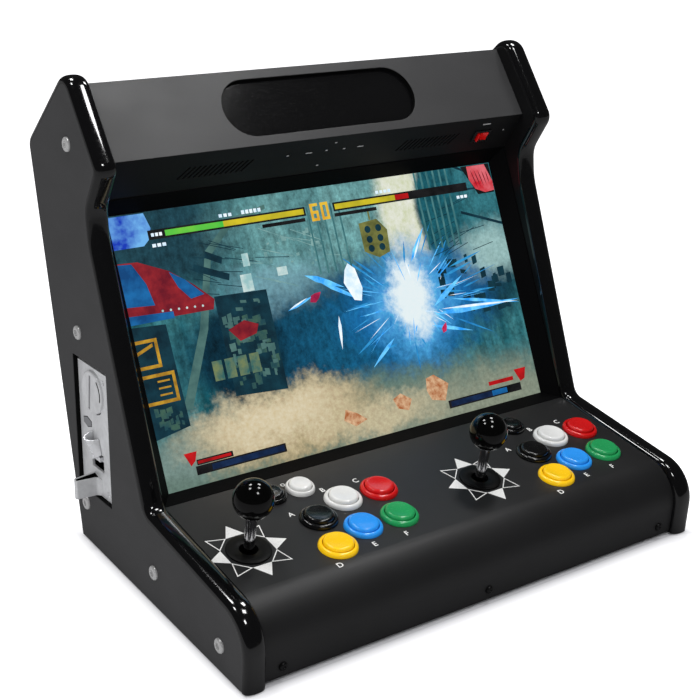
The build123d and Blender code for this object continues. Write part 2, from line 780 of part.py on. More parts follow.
def build():
    right_side = side_panel()
    pieces["right_side_panel"] = right_side
    pieces["left_side_panel"] = mirror_x(right_side) - coin_cutout()
    moulding = edge_moulding()
    pieces["right_edge_moulding"] = moulding
    pieces["left_edge_moulding"] = mirror_x(moulding)
    pieces["base_panel"] = base_panel()
    pieces["speaker_panel"] = speaker_board()
    pieces["marquee_panel"] = marquee_panel()
    pieces["marquee_window"] = marquee_window()
    pieces["top_rear_panel"] = case_board(2)
    pieces["rear_panel"] = rear_panel()
    pieces["screen_bezel"] = screen_bezel()
    pieces["lcd_panel"] = lcd_panel()
    pieces["monitor_housing"] = monitor_housing()
    pieces["control_panel"] = control_sheet()
    for colour in ("black", "white", "red", "yellow", "blue", "green"):
        rims = [on_control(x, y) * button_collar(size) for n, x, y, c, size in all_buttons() if c == colour]
        pieces[f"button_collars_{colour}"] = Compound(children=rims)
    for name, x, y, colour, size in all_buttons():
        pieces[name] = on_control(x, y) * button_plunger(size)
    pieces["microswitches"] = Compound(children=button_switches() + stick_switches())
    housings = []
    washers = []
    for player, x in stick_places().items():
        place = stick_pivot(x)
        housings.append(place * joystick_housing())
        washers.append(place * dust_washer())
        pieces[f"{player}_stick_gimbal"] = place * joystick_gimbal()
        pieces[f"{player}_stick_shaft"] = place * joystick_shaft()
        pieces[f"{player}_ball_top"] = place * joystick_ball()
    pieces["joystick_housings"] = Compound(children=housings)
    pieces["dust_washers"] = Compound(children=washers)
    pieces["side_bolts"] = Compound(children=side_bolts())
    pieces["panel_screws"] = Compound(children=panel_screws())
    pieces["rubber_feet"] = Compound(children=rubber_feet())
    pieces["cross_rails"] = Compound(children=cross_rails())
    pieces["speakers"] = Compound(children=speakers())
    pieces["display_buttons"] = display_buttons()
    pieces["power_switch_frame"] = rocker_frame()
    pieces["power_rocker"] = power_rocker()
    pieces["power_inlet"] = power_inlet()
    pieces["coin_plate"] = coin_plate()
    pieces["coin_reject_button"] = coin_reject_button()
    pieces["coin_return_lever"] = coin_return_lever()
    pieces["coin_selector"] = coin_selector()
    pieces["coin_box"] = coin_box()
    pieces["game_board"] = game_board()
    pieces["power_supply"] = power_supply()


build()
whole = Compound(children=[Compound(p.solids()) for p in pieces.values()]).bounding_box()
shift = Vector(-(whole.min.X + whole.max.X) / 2, -(whole.min.Y + whole.max.Y) / 2, -whole.min.Z)
os.makedirs("parts", exist_ok=True)
for node, shape in pieces.items():
    export_step(Pos(shift) * Compound(shape.solids()), f"parts/{node}.step")
print("moved by", shift, "size", whole.size, "nodes", len(pieces))
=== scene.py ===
import math
import random

import bmesh
import bpy
from mathutils import Matrix, Vector
from mathutils.geometry import tessellate_polygon


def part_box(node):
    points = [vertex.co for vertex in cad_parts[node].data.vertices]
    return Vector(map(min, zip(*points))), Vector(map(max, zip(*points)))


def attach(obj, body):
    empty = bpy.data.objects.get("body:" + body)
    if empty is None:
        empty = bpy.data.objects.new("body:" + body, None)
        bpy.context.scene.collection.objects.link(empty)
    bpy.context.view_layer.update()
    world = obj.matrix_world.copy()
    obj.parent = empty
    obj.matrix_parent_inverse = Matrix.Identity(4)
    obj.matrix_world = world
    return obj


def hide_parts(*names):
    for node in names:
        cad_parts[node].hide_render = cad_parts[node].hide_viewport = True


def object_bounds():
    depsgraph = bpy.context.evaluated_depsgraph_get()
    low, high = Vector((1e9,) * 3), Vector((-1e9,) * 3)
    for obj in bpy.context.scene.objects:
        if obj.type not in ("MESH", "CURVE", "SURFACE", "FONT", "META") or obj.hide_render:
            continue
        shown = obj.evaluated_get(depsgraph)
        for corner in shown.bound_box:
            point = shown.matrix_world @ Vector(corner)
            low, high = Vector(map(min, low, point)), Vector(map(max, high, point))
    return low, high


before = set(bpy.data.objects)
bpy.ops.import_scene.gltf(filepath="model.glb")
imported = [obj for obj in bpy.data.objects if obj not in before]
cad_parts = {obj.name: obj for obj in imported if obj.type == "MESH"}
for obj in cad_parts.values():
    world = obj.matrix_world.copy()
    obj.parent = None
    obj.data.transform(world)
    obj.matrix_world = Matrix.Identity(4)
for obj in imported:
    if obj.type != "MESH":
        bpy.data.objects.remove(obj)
cad_low, cad_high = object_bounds()

# The cabinet's own coordinates: millimetres, x from the middle plane, y back from the side
# panels' front edge, z up from the table
left_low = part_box("left_side_panel")[0]
right_low, right_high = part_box("right_side_panel")
middle_x = (left_low.x + right_high.x) / 2
front_y = right_low.y

half_width = 252.5
side_thickness = 20.0
foot_height = 1.5
board = 9.0  # thickness of the marquee and speaker boards
panel_gap = 0.25  # between the side boards and what sits between them
moulding_height = 6.5
slope = math.radians(6.4)
recline = math.radians(27.15)
control_front = 63.0  # height of the control panel's slope, carried on to its front face
coin_lean = math.radians(3.5)
coin_centre = (259.6, 118.0)
coin_recess = 4.7
cut_out = (66.5, 127.0)

# The side panels' outline, from the front foot round over the top: y, z and rounding radius
side_corners = [
    (0.0, foot_height, 2.0),
    (0.0, 60.0, 32.0),
    (163.0, 78.3, 18.0),
    (259.5, 292.0, 70.0),
    (264.5, 322.0, 30.0),
    (244.5, 358.0, 7.0),
    (300.5, 425.0, 12.0),
    (373.5, 353.0, 8.0),
    (282.0, foot_height, 2.0),
]
lip, apex, shoulder = (Vector(side_corners[i][:2]) for i in (5, 6, 7))

screen_width = 438.5
screen_height = screen_width * 9 / 16
screen_centre = (236.0, 192.5)
bezel_depth = 14.0
bezel_top_margin = 12.0
marquee_recess = 13.0  # of the marquee board's face, below the side panels' edge
marquee_setback = 11.5  # from the side panels' lip to the marquee board's foot, along the board
marquee_slot = (214.0, 57.0)
slot_radius = 28.4
window_gap = 0.4
window_setback = 4.5
stick_y = 80.4
stick_x = 198.8
player_shift = 250.4
pivot_depth = 14.0  # of the sticks' tilt axes, below the panel's top
ball_radius = 17.5
ball_height = 50.5
shaft_radius = 4.75
speaker_row = 21.5  # of the power switch, up the speaker board
rocker_x = 189.0
key_row = 27.6  # of the screen's keys, up the speaker board
key_pitch = 20.5
key_shift = -4.0
screw_row = (-215.0, 0.0, 215.0)
front_screw_height = 13.0
rear_screw_margin = 12.0

# On the coin plate, from its middle: across to the front and up
reject_centre = (-18.3, 1.8)
entry_centre = Vector((-3.0, 35.0))

# The coin unit's return cup: its section across and out of the coin plate, with rounding radii
cup_corners = [(-7.0, 0.0, 0.0), (-4.2, 23.0, 1.8), (0.6, 23.0, 1.8), (2.0, 3.0, 3.0), (7.0, 0.0, 0.0)]
cup_wall = 1.2
cup_rim = -42.8  # at the first corner, which is the highest
cup_rim_fall = 0.262
cup_floor = -62.25


def at(x, y, z):
    """A point of the cabinet, in the row frame."""
    return Vector((middle_x + x / 1000, front_y + y / 1000, z / 1000))


def plane(origin, across, out):
    """A plane's matrix: millimetres across it, up it and out of it, to the row frame."""
    x = Vector(across).normalized()
    w = Vector(out).normalized()
    y = w.cross(x)
    turn = Matrix((x, y, w)).transposed().to_4x4()
    return Matrix.Translation(at(*origin)) @ turn @ Matrix.Scale(0.001, 4)


def meet(p, along_p, q, along_q):
    """Where the line through p meets the line through q."""
    cross = along_p.x * along_q.y - along_p.y * along_q.x
    reach = ((q.x - p.x) * along_q.y - (q.y - p.y) * along_q.x) / cross
    return p + along_p * reach


control_height = control_front + math.tan(slope) * stick_y
control_plane = plane((0, stick_y, control_height), (1, 0, 0), (0, -math.sin(slope), math.cos(slope)))
screen_plane = plane((0, *screen_centre), (1, 0, 0), (0, -math.cos(recline), math.sin(recline)))
coin_across = (0, -math.cos(coin_lean), math.sin(coin_lean))
coin_plane = plane((-half_width + coin_recess, *coin_centre), coin_across, (-1, 0, 0))
bezel_top = screen_height / 2 + bezel_top_margin
speaker_foot_y = screen_centre[0] + bezel_top * math.sin(recline) - bezel_depth * math.cos(recline)
speaker_foot_z = screen_centre[1] + bezel_top * math.cos(recline) + bezel_depth * math.sin(recline)
speaker_foot = Vector((speaker_foot_y, speaker_foot_z))
marquee_along = (apex - lip).normalized()
marquee_out = Vector((-marquee_along.y, marquee_along.x))
marquee_foot = lip - marquee_out * marquee_recess + marquee_along * marquee_setback
marquee_top = meet(marquee_foot, marquee_along, apex, (shoulder - apex).normalized())
marquee_length = (marquee_top - marquee_foot).length
speaker_along = (marquee_foot - speaker_foot).normalized()
speaker_plane = plane((0, *speaker_foot), (1, 0, 0), (0, -speaker_along.y, speaker_along.x))
marquee_plane = plane((0, *marquee_foot), (1, 0, 0), (0, -marquee_along.y, marquee_along.x))


def on_control(x, y, height=0.0):
    """The matrix of a fitting that stands on the control panel at the cabinet's x and y."""
    return control_plane @ Matrix.Translation((x, (y - stick_y) / math.cos(slope), height))


# ---- Mesh building
def round_corners(corners, step=9.0):
    """The loop through the corners (x, y, radius), each one replaced by an arc."""
    points = []
    for i, (x, y, radius) in enumerate(corners):
        here = Vector((x, y))
        if radius == 0:
            points.append(here)
            continue
        before = (Vector(corners[i - 1][:2]) - here).normalized()
        after = (Vector(corners[(i + 1) % len(corners)][:2]) - here).normalized()
        half = before.angle(after) / 2
        turn = math.pi - 2 * half
        centre = here + (before + after).normalized() * radius / math.sin(half)
        start = here + before * radius / math.tan(half) - centre
        end = here + after * radius / math.tan(half) - centre
        steps = max(2, math.ceil(math.degrees(turn) / step))
        for k in range(steps + 1):
            t = k / steps
            arm = start * math.sin((1 - t) * turn) + end * math.sin(t * turn)
            points.append(centre + arm / math.sin(turn))
    return points


def circle(radius, steps, centre=(0.0, 0.0)):
    """Points round a circle."""
    turns = [2 * math.pi * k / steps for k in range(steps)]
    return [Vector((centre[0] + radius * math.cos(a), centre[1] + radius * math.sin(a))) for a in turns]


def rectangle(width, height, radius, centre=(0.0, 0.0)):
    """The outline of a rectangle with rounded corners."""
    x, y = centre
    corners = [(-1, -1), (1, -1), (1, 1), (-1, 1)]
    return round_corners([(x + a * width / 2, y + b * height / 2, radius) for a, b in corners])


def bar(u, v, width, height):
    """The corners of an upright rectangle, from its lower left one."""
    return [(u, v), (u + width, v), (u + width, v + height), (u, v + height)]


def streak(start, end, thick):
    """A spindle between two points."""
    a, b = Vector(start), Vector(end)
    along = (b - a).normalized()
    side = Vector((-along.y, along.x)) * thick / 2
    upper = [b, a.lerp(b, 0.6) + side * 0.8, a.lerp(b, 0.3) + side]
    return [a, a.lerp(b, 0.3) - side, a.lerp(b, 0.65) - side * 0.8] + upper


def area(points):
    """The loop's area, negative where it runs clockwise."""
    return sum(p.x * q.y - q.x * p.y for p, q in zip(points, points[1:] + points[:1])) / 2


def turned(points, clockwise):
    """The same loop, running the way that is asked for."""
    return list(reversed(points)) if (area(points) < 0) != clockwise else list(points)


def inset(points, distance):
    """The loop moved to its left, which is into the material."""
    moved = []
    for i, p in enumerate(points):
        a = (p - points[i - 1]).normalized()
        b = (points[(i + 1) % len(points)] - p).normalized()
        left_a = Vector((-a.y, a.x))
        left_b = Vector((-b.y, b.x))
        middle = (left_a + left_b).normalized()
        moved.append(p + middle * distance / max(0.4, middle.dot(left_a)))
    return moved


def plate(outline, holes, thickness, bevel, steps=3):
    """A flat plate from w = 0 back to -thickness, its edges and its holes' edges rounded."""
    loops = [turned(outline, False)] + [turned(h, True) for h in holes]
    rounding = []
    for k in range(steps + 1):
        a = math.radians(90 * k / steps)
        rounding.append((bevel * (1 - math.sin(a)), -bevel * (1 - math.cos(a))))
    levels = rounding + [(i, -thickness - w) for i, w in reversed(rounding)]
    verts = []
    starts = []
    for distance, w in levels:
        starts.append(len(verts))
        for loop in loops:
            verts += [(p.x, p.y, w) for p in inset(loop, distance)]
    faces = []
    for low, high in zip(starts, starts[1:]):
        first = 0
        for loop in loops:
            n = len(loop)
            for i in range(n):
                a, b = first + i, first + (i + 1) % n
                faces.append((low + a, low + b, high + b, high + a))
            first += n
    for start in (starts[0], starts[-1]):
        flat = []
        first = start
        for loop in loops:
            flat.append([Vector((verts[first + i][0], verts[first + i][1], 0)) for i in range(len(loop))])
            first += len(loop)
        for triangle in tessellate_polygon(flat):
            faces.append(tuple(start + i for i in triangle))
    return verts, faces


def lathe(profile, steps=56, closed=False):
    """A profile of (radius, height) points turned round the upright axis."""
    verts = []
    faces = []
    n = len(profile)
    for k in range(steps):
        a = 2 * math.pi * k / steps
        verts += [(r * math.cos(a), r * math.sin(a), w) for r, w in profile]
    for k in range(steps):
        here, there = k * n, ((k + 1) % steps) * n
        for i in range(n if closed else n - 1):
            j = (i + 1) % n
            faces.append((here + i, here + j, there + j, there + i))
    return verts, faces


def skin(rows, n):
    """The faces between neighbouring rows of n points each, closed round each row."""
    faces = []
    for row in range(rows - 1):
        for i in range(n):
            j = (i + 1) % n
            faces.append((row * n + i, row * n + j, (row + 1) * n + j, (row + 1) * n + i))
    return faces


def box(size, centre, bevel):
    """A block with rounded edges."""
    verts, faces = plate(rectangle(size[0], size[1], bevel), [], size[2], bevel)
    return [(x + centre[0], y + centre[1], w + centre[2] + size[2] / 2) for x, y, w in verts], faces


def joined(*parts):
    """Several meshes, given as (verts, faces), in one."""
    verts = []
    faces = []
    for part_verts, part_faces in parts:
        first = len(verts)
        verts += part_verts
        faces += [tuple(first + i for i in face) for face in part_faces]
    return verts, faces


def placed(part, matrix):
    """A mesh moved by a matrix."""
    verts, faces = part
    return [tuple(matrix @ Vector(v)) for v in verts], faces


def raised(part, height):
    """A mesh moved out of its own plane."""
    verts, faces = part
    return [(x, y, w + height) for x, y, w in verts], faces


def polygon_slab(points, low, high, holes=()):
    """A thin closed layer with this outline, between two heights."""
    return raised(plate([Vector(p) for p in points], holes, high - low, 0.0, steps=1), high)


def piece(name, part, material, body="root", stands_for=(), sharp=35, weighted=False, local=None):
    """A finished piece of the object. With local, its mesh keeps that plane's own coordinates."""
    mesh = bpy.data.meshes.new(name)
    mesh.from_pydata([tuple(v) for v in part[0]], [], part[1])
    bm = bmesh.new()
    bm.from_mesh(mesh)
    bmesh.ops.remove_doubles(bm, verts=bm.verts, dist=1e-6)
    bmesh.ops.recalc_face_normals(bm, faces=bm.faces)
    bm.to_mesh(mesh)
    bm.free()
    mesh.shade_smooth()
    mesh.set_sharp_from_angle(angle=math.radians(sharp))
    mesh.materials.append(material)
    obj = bpy.data.objects.new(name, mesh)
    bpy.context.scene.collection.objects.link(obj)
    if local is not None:
        obj.matrix_world = local
    if weighted:
        modifier = obj.modifiers.new("weighted", "WEIGHTED_NORMAL")
        modifier.keep_sharp = True
    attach(obj, body)
    if stands_for:
        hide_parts(*stands_for)


# ---- Materials
def linear(r, g, b):
    """A colour given as 0 to 255 screen values, as scene-linear light."""

    def one(value):
        value /= 255
        return value / 12.92 if value <= 0.04045 else ((value + 0.055) / 1.055) ** 2.4

    return (one(r), one(g), one(b), 1.0)


no_light = (0.0, 0.0, 0.0, 1.0)


class Tree:
    """Short names for building a material's nodes."""

    def __init__(self, name):
        self.material = bpy.data.materials.new(name)
        self.material.use_nodes = True
        self.nodes = self.material.node_tree.nodes
        self.links = self.material.node_tree.links
        self.shader = self.nodes["Principled BSDF"]
        self.coords = self.add("ShaderNodeTexCoord").outputs["Object"]

    def add(self, kind, inputs=None, **settings):
        """A node with these settings, and these values or links in its inputs."""
        node = self.nodes.new(kind)
        for key, value in settings.items():
            setattr(node, key, value)
        for key, value in (inputs or {}).items():
            self.put(node.inputs[key], value)
        return node

    def put(self, socket, value):
        """Links a socket, or gives it a plain value."""
        if isinstance(value, bpy.types.NodeSocket):
            self.links.new(value, socket)
        else:
            socket.default_value = value

    def math(self, operation, a, b=0.0):
        return self.add("ShaderNodeMath", {0: a, 1: b}, operation=operation).outputs[0]

    def vector(self, operation, a, b=(0.0, 0.0, 0.0)):
        node = self.add("ShaderNodeVectorMath", {0: a, 1: b}, operation=operation)
        return node.outputs["Value" if operation == "LENGTH" else 0]

    def noise(self, scale, detail=3.0, roughness=0.5, stretch=None, colour=False, coords=None):
        source = coords or self.coords
        if stretch:
            source = self.vector("MULTIPLY", source, stretch)
        inputs = {"Vector": source, "Scale": scale, "Detail": detail, "Roughness": roughness}
        return self.add("ShaderNodeTexNoise", inputs).outputs["Color" if colour else "Fac"]

    def spread(self, value, low, high, to_low=0.0, to_high=1.0, smooth=False):
        """The value moved from one range to another, and held inside it."""
        inputs = {"Value": value, "From Min": low, "From Max": high, "To Min": to_low, "To Max": to_high}
        kind = "SMOOTHSTEP" if smooth else "LINEAR"
        return self.add("ShaderNodeMapRange", inputs, interpolation_type=kind).outputs["Result"]

    def mix(self, factor, a, b, blend="MIX"):
        inputs = {"Factor": factor, 6: a, 7: b}
        return self.add("ShaderNodeMix", inputs, data_type="RGBA", blend_type=blend).outputs[2]

    def grey(self, value):
        inputs = {"Red": value, "Green": value, "Blue": value}
        return self.add("ShaderNodeCombineColor", inputs).outputs["Color"]

    def bump(self, height, strength, distance, normal=None):
        inputs = {"Strength": strength, "Distance": distance, "Height": height}
        if normal is not None:
            inputs["Normal"] = normal
        return self.add("ShaderNodeBump", inputs).outputs["Normal"]

    def soft_edges(self, radius):
        """Edges eased by this radius, for parts that come straight from the frame."""
        return self.add("ShaderNodeBevel", {"Radius": radius}, samples=6).outputs["Normal"]

    def across(self, axis):
        """One object coordinate, in metres."""
        return self.add("ShaderNodeSeparateXYZ", {0: self.coords}).outputs[axis]

    def set(self, **sockets):
        """Sets or links the shader's own sockets, named with underscores."""
        for key, value in sockets.items():
            self.put(self.shader.inputs[key.replace("_", " ")], value)


def shaded(colour, factor):
    """The colour made lighter or darker."""
    return tuple(c * factor for c in colour[:3]) + (1.0,)


def coated(
    name,
    colour,
    roughness,
    vary=0.12,
    grain=900.0,
    relief=0.15,
    depth=0.00005,
    specular=0.5,
    edge=0.0,
    metallic=0.0,
    painted_shade_inside=False,
):
    """A paint, laminate or plastic: fine grain, cloudy sheen and slight colour variation.

    One option paints the side boards' inner faces nearly black: painted shade, as in the screen's recess.
    """
    t = Tree(name)
    cloud = t.noise(14.0, 4.0, 0.6)
    fine = t.noise(grain, 2.0, 0.6)
    mottled = t.math("ADD", t.math("MULTIPLY", cloud, 0.6), t.math("MULTIPLY", fine, 0.4))
    tone = t.spread(mottled, 0.3, 0.7)
    body = t.mix(tone, shaded(colour, 1 - vary), shaded(colour, 1 + vary))
    # painted shade: the side boards' inner faces, towards the screen's recess, are made nearly black
    if painted_shade_inside:
        from_middle = t.math("ABSOLUTE", t.math("SUBTRACT", t.across("X"), middle_x))
        inner_face = (half_width - side_thickness) / 1000
        outside = t.spread(from_middle, inner_face + 0.0006, inner_face + 0.001)
        body = t.mix(outside, linear(10, 10, 11), body)
    wiped = t.noise(9.0, 5.0, 0.65, stretch=(1.0, 1.0, 2.6))
    sheen = t.spread(wiped, 0.25, 0.75, roughness - 0.06, roughness + 0.06)
    rough = t.math("ADD", sheen, t.spread(fine, 0.3, 0.7, -0.03, 0.03))
    normal = t.bump(fine, relief, depth, t.soft_edges(edge) if edge else None)
    t.set(Base_Color=body, Roughness=rough, Normal=normal, Specular_IOR_Level=specular, Metallic=metallic)
    return t.material


def moulded(name, colour, roughness=0.2, coat=0.25, specular=0.5):
    """Glossy injection-moulded plastic, with fine scratches and a faint orange peel."""
    t = Tree(name)
    cloud = t.noise(40.0, 3.0, 0.5)
    body = t.mix(t.spread(cloud, 0.3, 0.7), shaded(colour, 0.93), shaded(colour, 1.05))
    scratches = t.noise(260.0, 2.0, 0.7, stretch=(1.0, 6.0, 1.0))
    wear = t.spread(scratches, 0.5, 0.75, roughness, roughness + 0.12)
    peel = t.bump(t.noise(420.0, 1.0, 0.4), 0.08, 0.00004)
    t.set(Base_Color=body, Roughness=wear, Normal=peel, Coat_Weight=coat, Coat_Roughness=0.05)
    t.set(Specular_IOR_Level=specular)
    return t.material


def metal(
    name,
    colour,
    roughness,
    stretch=(1.0, 1.0, 1.0),
    vary=0.08,
    edge=0.0,
    relief=0.12,
    grain=500.0,
    metallic=1.0,
):
    """Plated, cast or drawn metal, with its grain along one axis."""
    t = Tree(name)
    grain_noise = t.noise(grain, 3.0, 0.6, stretch=stretch)
    cloud = t.noise(30.0, 4.0, 0.6)
    tone = t.spread(t.math("ADD", grain_noise, cloud), 0.7, 1.3)
    body = t.mix(tone, shaded(colour, 1 - vary), shaded(colour, 1 + vary))
    rough = t.spread(cloud, 0.25, 0.75, roughness - 0.06, roughness + 0.1)
    normal = t.bump(grain_noise, relief, 0.00005, t.soft_edges(edge) if edge else None)
    t.set(Base_Color=body, Roughness=rough, Normal=normal, Metallic=metallic)
    return t.material


def wood(name):
    """Plain softwood, with its grain along the x axis."""
    t = Tree(name)
    rings = t.noise(60.0, 4.0, 0.6, stretch=(0.12, 1.0, 1.0))
    body = t.mix(t.spread(rings, 0.35, 0.65), linear(150, 112, 70), linear(205, 168, 118))
    t.set(Base_Color=body, Roughness=t.spread(rings, 0.3, 0.7, 0.5, 0.7), Normal=t.bump(rings, 0.3, 0.0002))
    return t.material


def printed(name, colour):
    """Screen-printed ink, slightly worn."""
    t = Tree(name)
    worn = t.noise(700.0, 3.0, 0.7)
    body = t.mix(t.spread(worn, 0.25, 0.5), shaded(colour, 0.8), colour)
    t.set(Base_Color=body, Roughness=t.spread(worn, 0.3, 0.7, 0.45, 0.6), Normal=t.bump(worn, 0.1, 0.00003))
    return t.material


def glowing(name, colour, other, scale, strength=0.9, stretch=None):
    """Part of the picture on the lit screen: light of one colour broken by another."""
    t = Tree(f"picture_{name}")
    broken = t.spread(t.noise(scale, 4.0, 0.6, stretch=stretch), 0.35, 0.65)
    light = t.mix(broken, linear(*colour), linear(*other))
    t.set(Base_Color=no_light, Roughness=0.25, Emission_Color=light, Emission_Strength=strength)
    return t.material


# The picture's soft patches: colour, centre, radii, softness, raggedness and strength, from the
# haze at the back, over the ground, to the sand and the burst of light
haze_patches = [
    ((30, 66, 78), (-170, 95), (75, 50), 0.5, 30, 1.0),
    ((120, 172, 172), (0, 95), (95, 60), 0.6, 40, 0.8),
    ((74, 124, 128), (-20, 100), (24, 60), 0.2, 10, 0.6),
    ((228, 232, 210), (96, 88), (30, 62), 0.3, 14, 1.0),
    ((26, 88, 100), (146, 82), (34, 56), 0.12, 6, 1.0),
    ((52, 116, 126), (196, 100), (30, 45), 0.5, 20, 1.0),
    ((14, 60, 82), (0, -12), (175, 52), 0.35, 30, 1.0),
    ((22, 98, 136), (48, -22), (105, 42), 0.6, 60, 0.8),
    ((10, 46, 62), (-118, -18), (44, 46), 0.2, 10, 1.0),
    ((20, 60, 74), (182, 5), (40, 40), 0.4, 22, 1.0),
]
ground_patches = [
    ((104, 128, 118), (0, -120), (290, 56), 0.28, 22, 1.0),
    ((148, 154, 134), (120, -112), (130, 26), 0.6, 40, 0.8),
    ((128, 152, 146), (-190, -98), (50, 16), 0.6, 24, 0.7),
    ((176, 158, 118), (-84, -88), (92, 34), 0.4, 50, 1.0),
    ((226, 212, 178), (-100, -82), (74, 24), 0.7, 56, 0.95),
    ((210, 196, 160), (10, -104), (70, 15), 0.7, 46, 0.8),
    ((168, 206, 204), (196, 34), (38, 26), 0.6, 36, 0.85),
    ((150, 200, 214), (-66, 40), (50, 20), 0.8, 40, 0.5),
    ((30, 126, 206), (90, -4), (66, 42), 0.85, 60, 1.0),
    ((96, 190, 246), (84, -2), (40, 44), 0.6, 54, 0.9),
    ((240, 252, 255), (82, 2), (25, 34), 0.35, 38, 1.0),
]


def street_picture():
    """The lit picture's backdrop: a hazy teal street, with a burst of light and blown sand."""
    t = Tree("picture_backdrop")
    mm = t.vector("MULTIPLY", t.coords, (1000.0, 1000.0, 0.0))

    def wander(scale, detail, roughness):
        noise = t.noise(scale, detail, roughness, colour=True, coords=mm)
        return t.vector("SUBTRACT", noise, (0.5, 0.5, 0.5))

    rough_shift = wander(0.035, 5.0, 0.62)
    fine_shift = wander(0.16, 4.0, 0.7)

    def patch(under, colour, centre, radii, soft, ragged, strength):
        shift = t.vector("ADD", rough_shift, t.vector("MULTIPLY", fine_shift, (0.5, 0.5, 0.0)))
        moved = t.vector("ADD", mm, t.vector("MULTIPLY", shift, (ragged, ragged, 0.0)))
        away = t.vector("SUBTRACT", moved, (centre[0], centre[1], 0.0))
        reach = t.vector("LENGTH", t.vector("MULTIPLY", away, (1 / radii[0], 1 / radii[1], 0.0)))
        mask = t.spread(reach, 1.0 + soft, 1.0 - soft, 0.0, strength, smooth=True)
        return t.mix(mask, under, linear(*colour))

    beams = t.spread(t.noise(0.05, 4.0, 0.6, stretch=(1.0, 0.12, 1.0), coords=mm), 0.35, 0.65)
    picture = t.mix(beams, linear(20, 84, 94), linear(66, 128, 134))
    for row in haze_patches:
        picture = patch(picture, *row)
    detail = t.noise(0.11, 9.0, 0.78, stretch=(1.0, 0.6, 1.0), coords=mm)
    detail = t.grey(t.spread(detail, 0.34, 0.66, 0.12, 0.88))
    picture = t.mix(0.7, picture, detail, blend="OVERLAY")
    for row in ground_patches:
        picture = patch(picture, *row)
    grit = t.grey(t.spread(t.noise(0.2, 6.0, 0.7, coords=mm), 0.34, 0.66, 0.3, 0.7))
    picture = t.mix(0.5, picture, grit, blend="OVERLAY")
    t.set(Base_Color=no_light, Roughness=0.22, Emission_Color=picture, Emission_Strength=0.9)
    return t.material


side_laminate = coated(
    "side_laminate",
    linear(54, 54, 55),
    0.55,
    relief=0.3,
    depth=0.00012,
    grain=1300.0,
    specular=0.25,
    painted_shade_inside=True,
)
# Black paint on the cut edges; the same black also makes the painted shade on the coin plate and inside the
# return cup
black_paint_and_shade = coated("cut_out_paint_and_painted_shade", linear(6, 6, 6), 0.8, specular=0.1)
speaker_paint = coated("speaker_board", linear(15, 15, 16), 0.6, edge=0.0006, specular=0.2)
edge_trim = moulded("edge_trim", linear(7, 7, 8), 0.09, coat=0.6)
case_paint = coated("case_board", linear(54, 54, 55), 0.42, grain=1100.0, specular=0.4)
rear_paint = coated("rear_paint", linear(40, 40, 42), 0.55, edge=0.0005)
top_paint = coated("top_board", linear(48, 48, 50), 0.42, grain=1100.0, edge=0.0006)
panel_coat = coated(
    "panel_coat",
    linear(24, 24, 25),
    0.42,
    relief=0.35,
    depth=0.00008,
    grain=1500.0,
    specular=0.38,
    edge=0.0005,
)
bezel_plastic = coated("bezel_plastic", linear(5, 5, 6), 0.65, edge=0.0006, specular=0.06)
smoked = moulded("smoked_acrylic", linear(10, 10, 11), 0.1, coat=0.5)
zinc = metal("zinc_bolts", linear(196, 196, 196), 0.26, stretch=(1.0, 1.0, 6.0), metallic=0.55)
black_oxide = coated("black_screws", linear(14, 14, 15), 0.32, metallic=0.4)
chrome = metal(
    "stick_chrome", linear(196, 196, 200), 0.12, stretch=(1.0, 1.0, 0.02), relief=0.01, grain=900.0
)
ball_black = moulded("ball_black", linear(3, 3, 3), 0.06, coat=0.1, specular=0.3)
washer_black = coated("washer_black", linear(5, 5, 5), 0.45, specular=0.12)
die_cast = metal(
    "die_cast", linear(206, 207, 209), 0.34, edge=0.0006, relief=0.4, grain=200.0, metallic=0.4, vary=0.12
)
lever_chrome = metal("lever_chrome", linear(222, 223, 226), 0.24, edge=0.0005, relief=0.06, metallic=0.5)
# Darker grey than the coin plate's metal: painted shade on the recessed reject button
reject_painted_shade_metal = metal("reject_button", linear(132, 133, 136), 0.4, edge=0.0004, metallic=0.4)
steel = metal("steel_casing", linear(168, 170, 172), 0.4, stretch=(8.0, 1.0, 1.0), edge=0.0005)
supply_steel = metal("supply_casing", linear(174, 174, 176), 0.42, edge=0.0006)
dark_plastic = coated("switch_plastic", linear(15, 15, 16), 0.5, edge=0.0004, specular=0.2)
housing_plastic = coated("housing_plastic", linear(34, 34, 35), 0.5, edge=0.0005)
coin_body = coated("coin_body", linear(44, 44, 45), 0.5, edge=0.0005)
rubber = coated("foot_rubber", linear(26, 26, 26), 0.8, relief=0.5, specular=0.25)
speaker_black = coated("speaker_black", linear(24, 24, 25), 0.6)
rocker_black = moulded("rocker_black", linear(16, 16, 17), 0.25)
rocker_red = moulded("rocker_red", linear(196, 14, 12), 0.18, coat=0.5)
lcd_black = coated("screen_glass", linear(10, 10, 11), 0.3)
board_green = coated("circuit_board", linear(22, 92, 54), 0.35, vary=0.3, grain=300.0)
rail_wood = wood("rail_wood")
white_ink = printed("white_ink", linear(232, 232, 230))
grey_ink = printed("grey_ink", linear(150, 150, 150))
button_colours = {
    "black": linear(8, 8, 9),
    "white": linear(226, 226, 224),
    "red": linear(200, 12, 14),
    "yellow": linear(252, 200, 14),
    "blue": linear(40, 148, 240),
    "green": linear(32, 150, 84),
}
button_plastic = {c: moulded("button_" + c, value, 0.2, coat=0.35) for c, value in button_colours.items()}

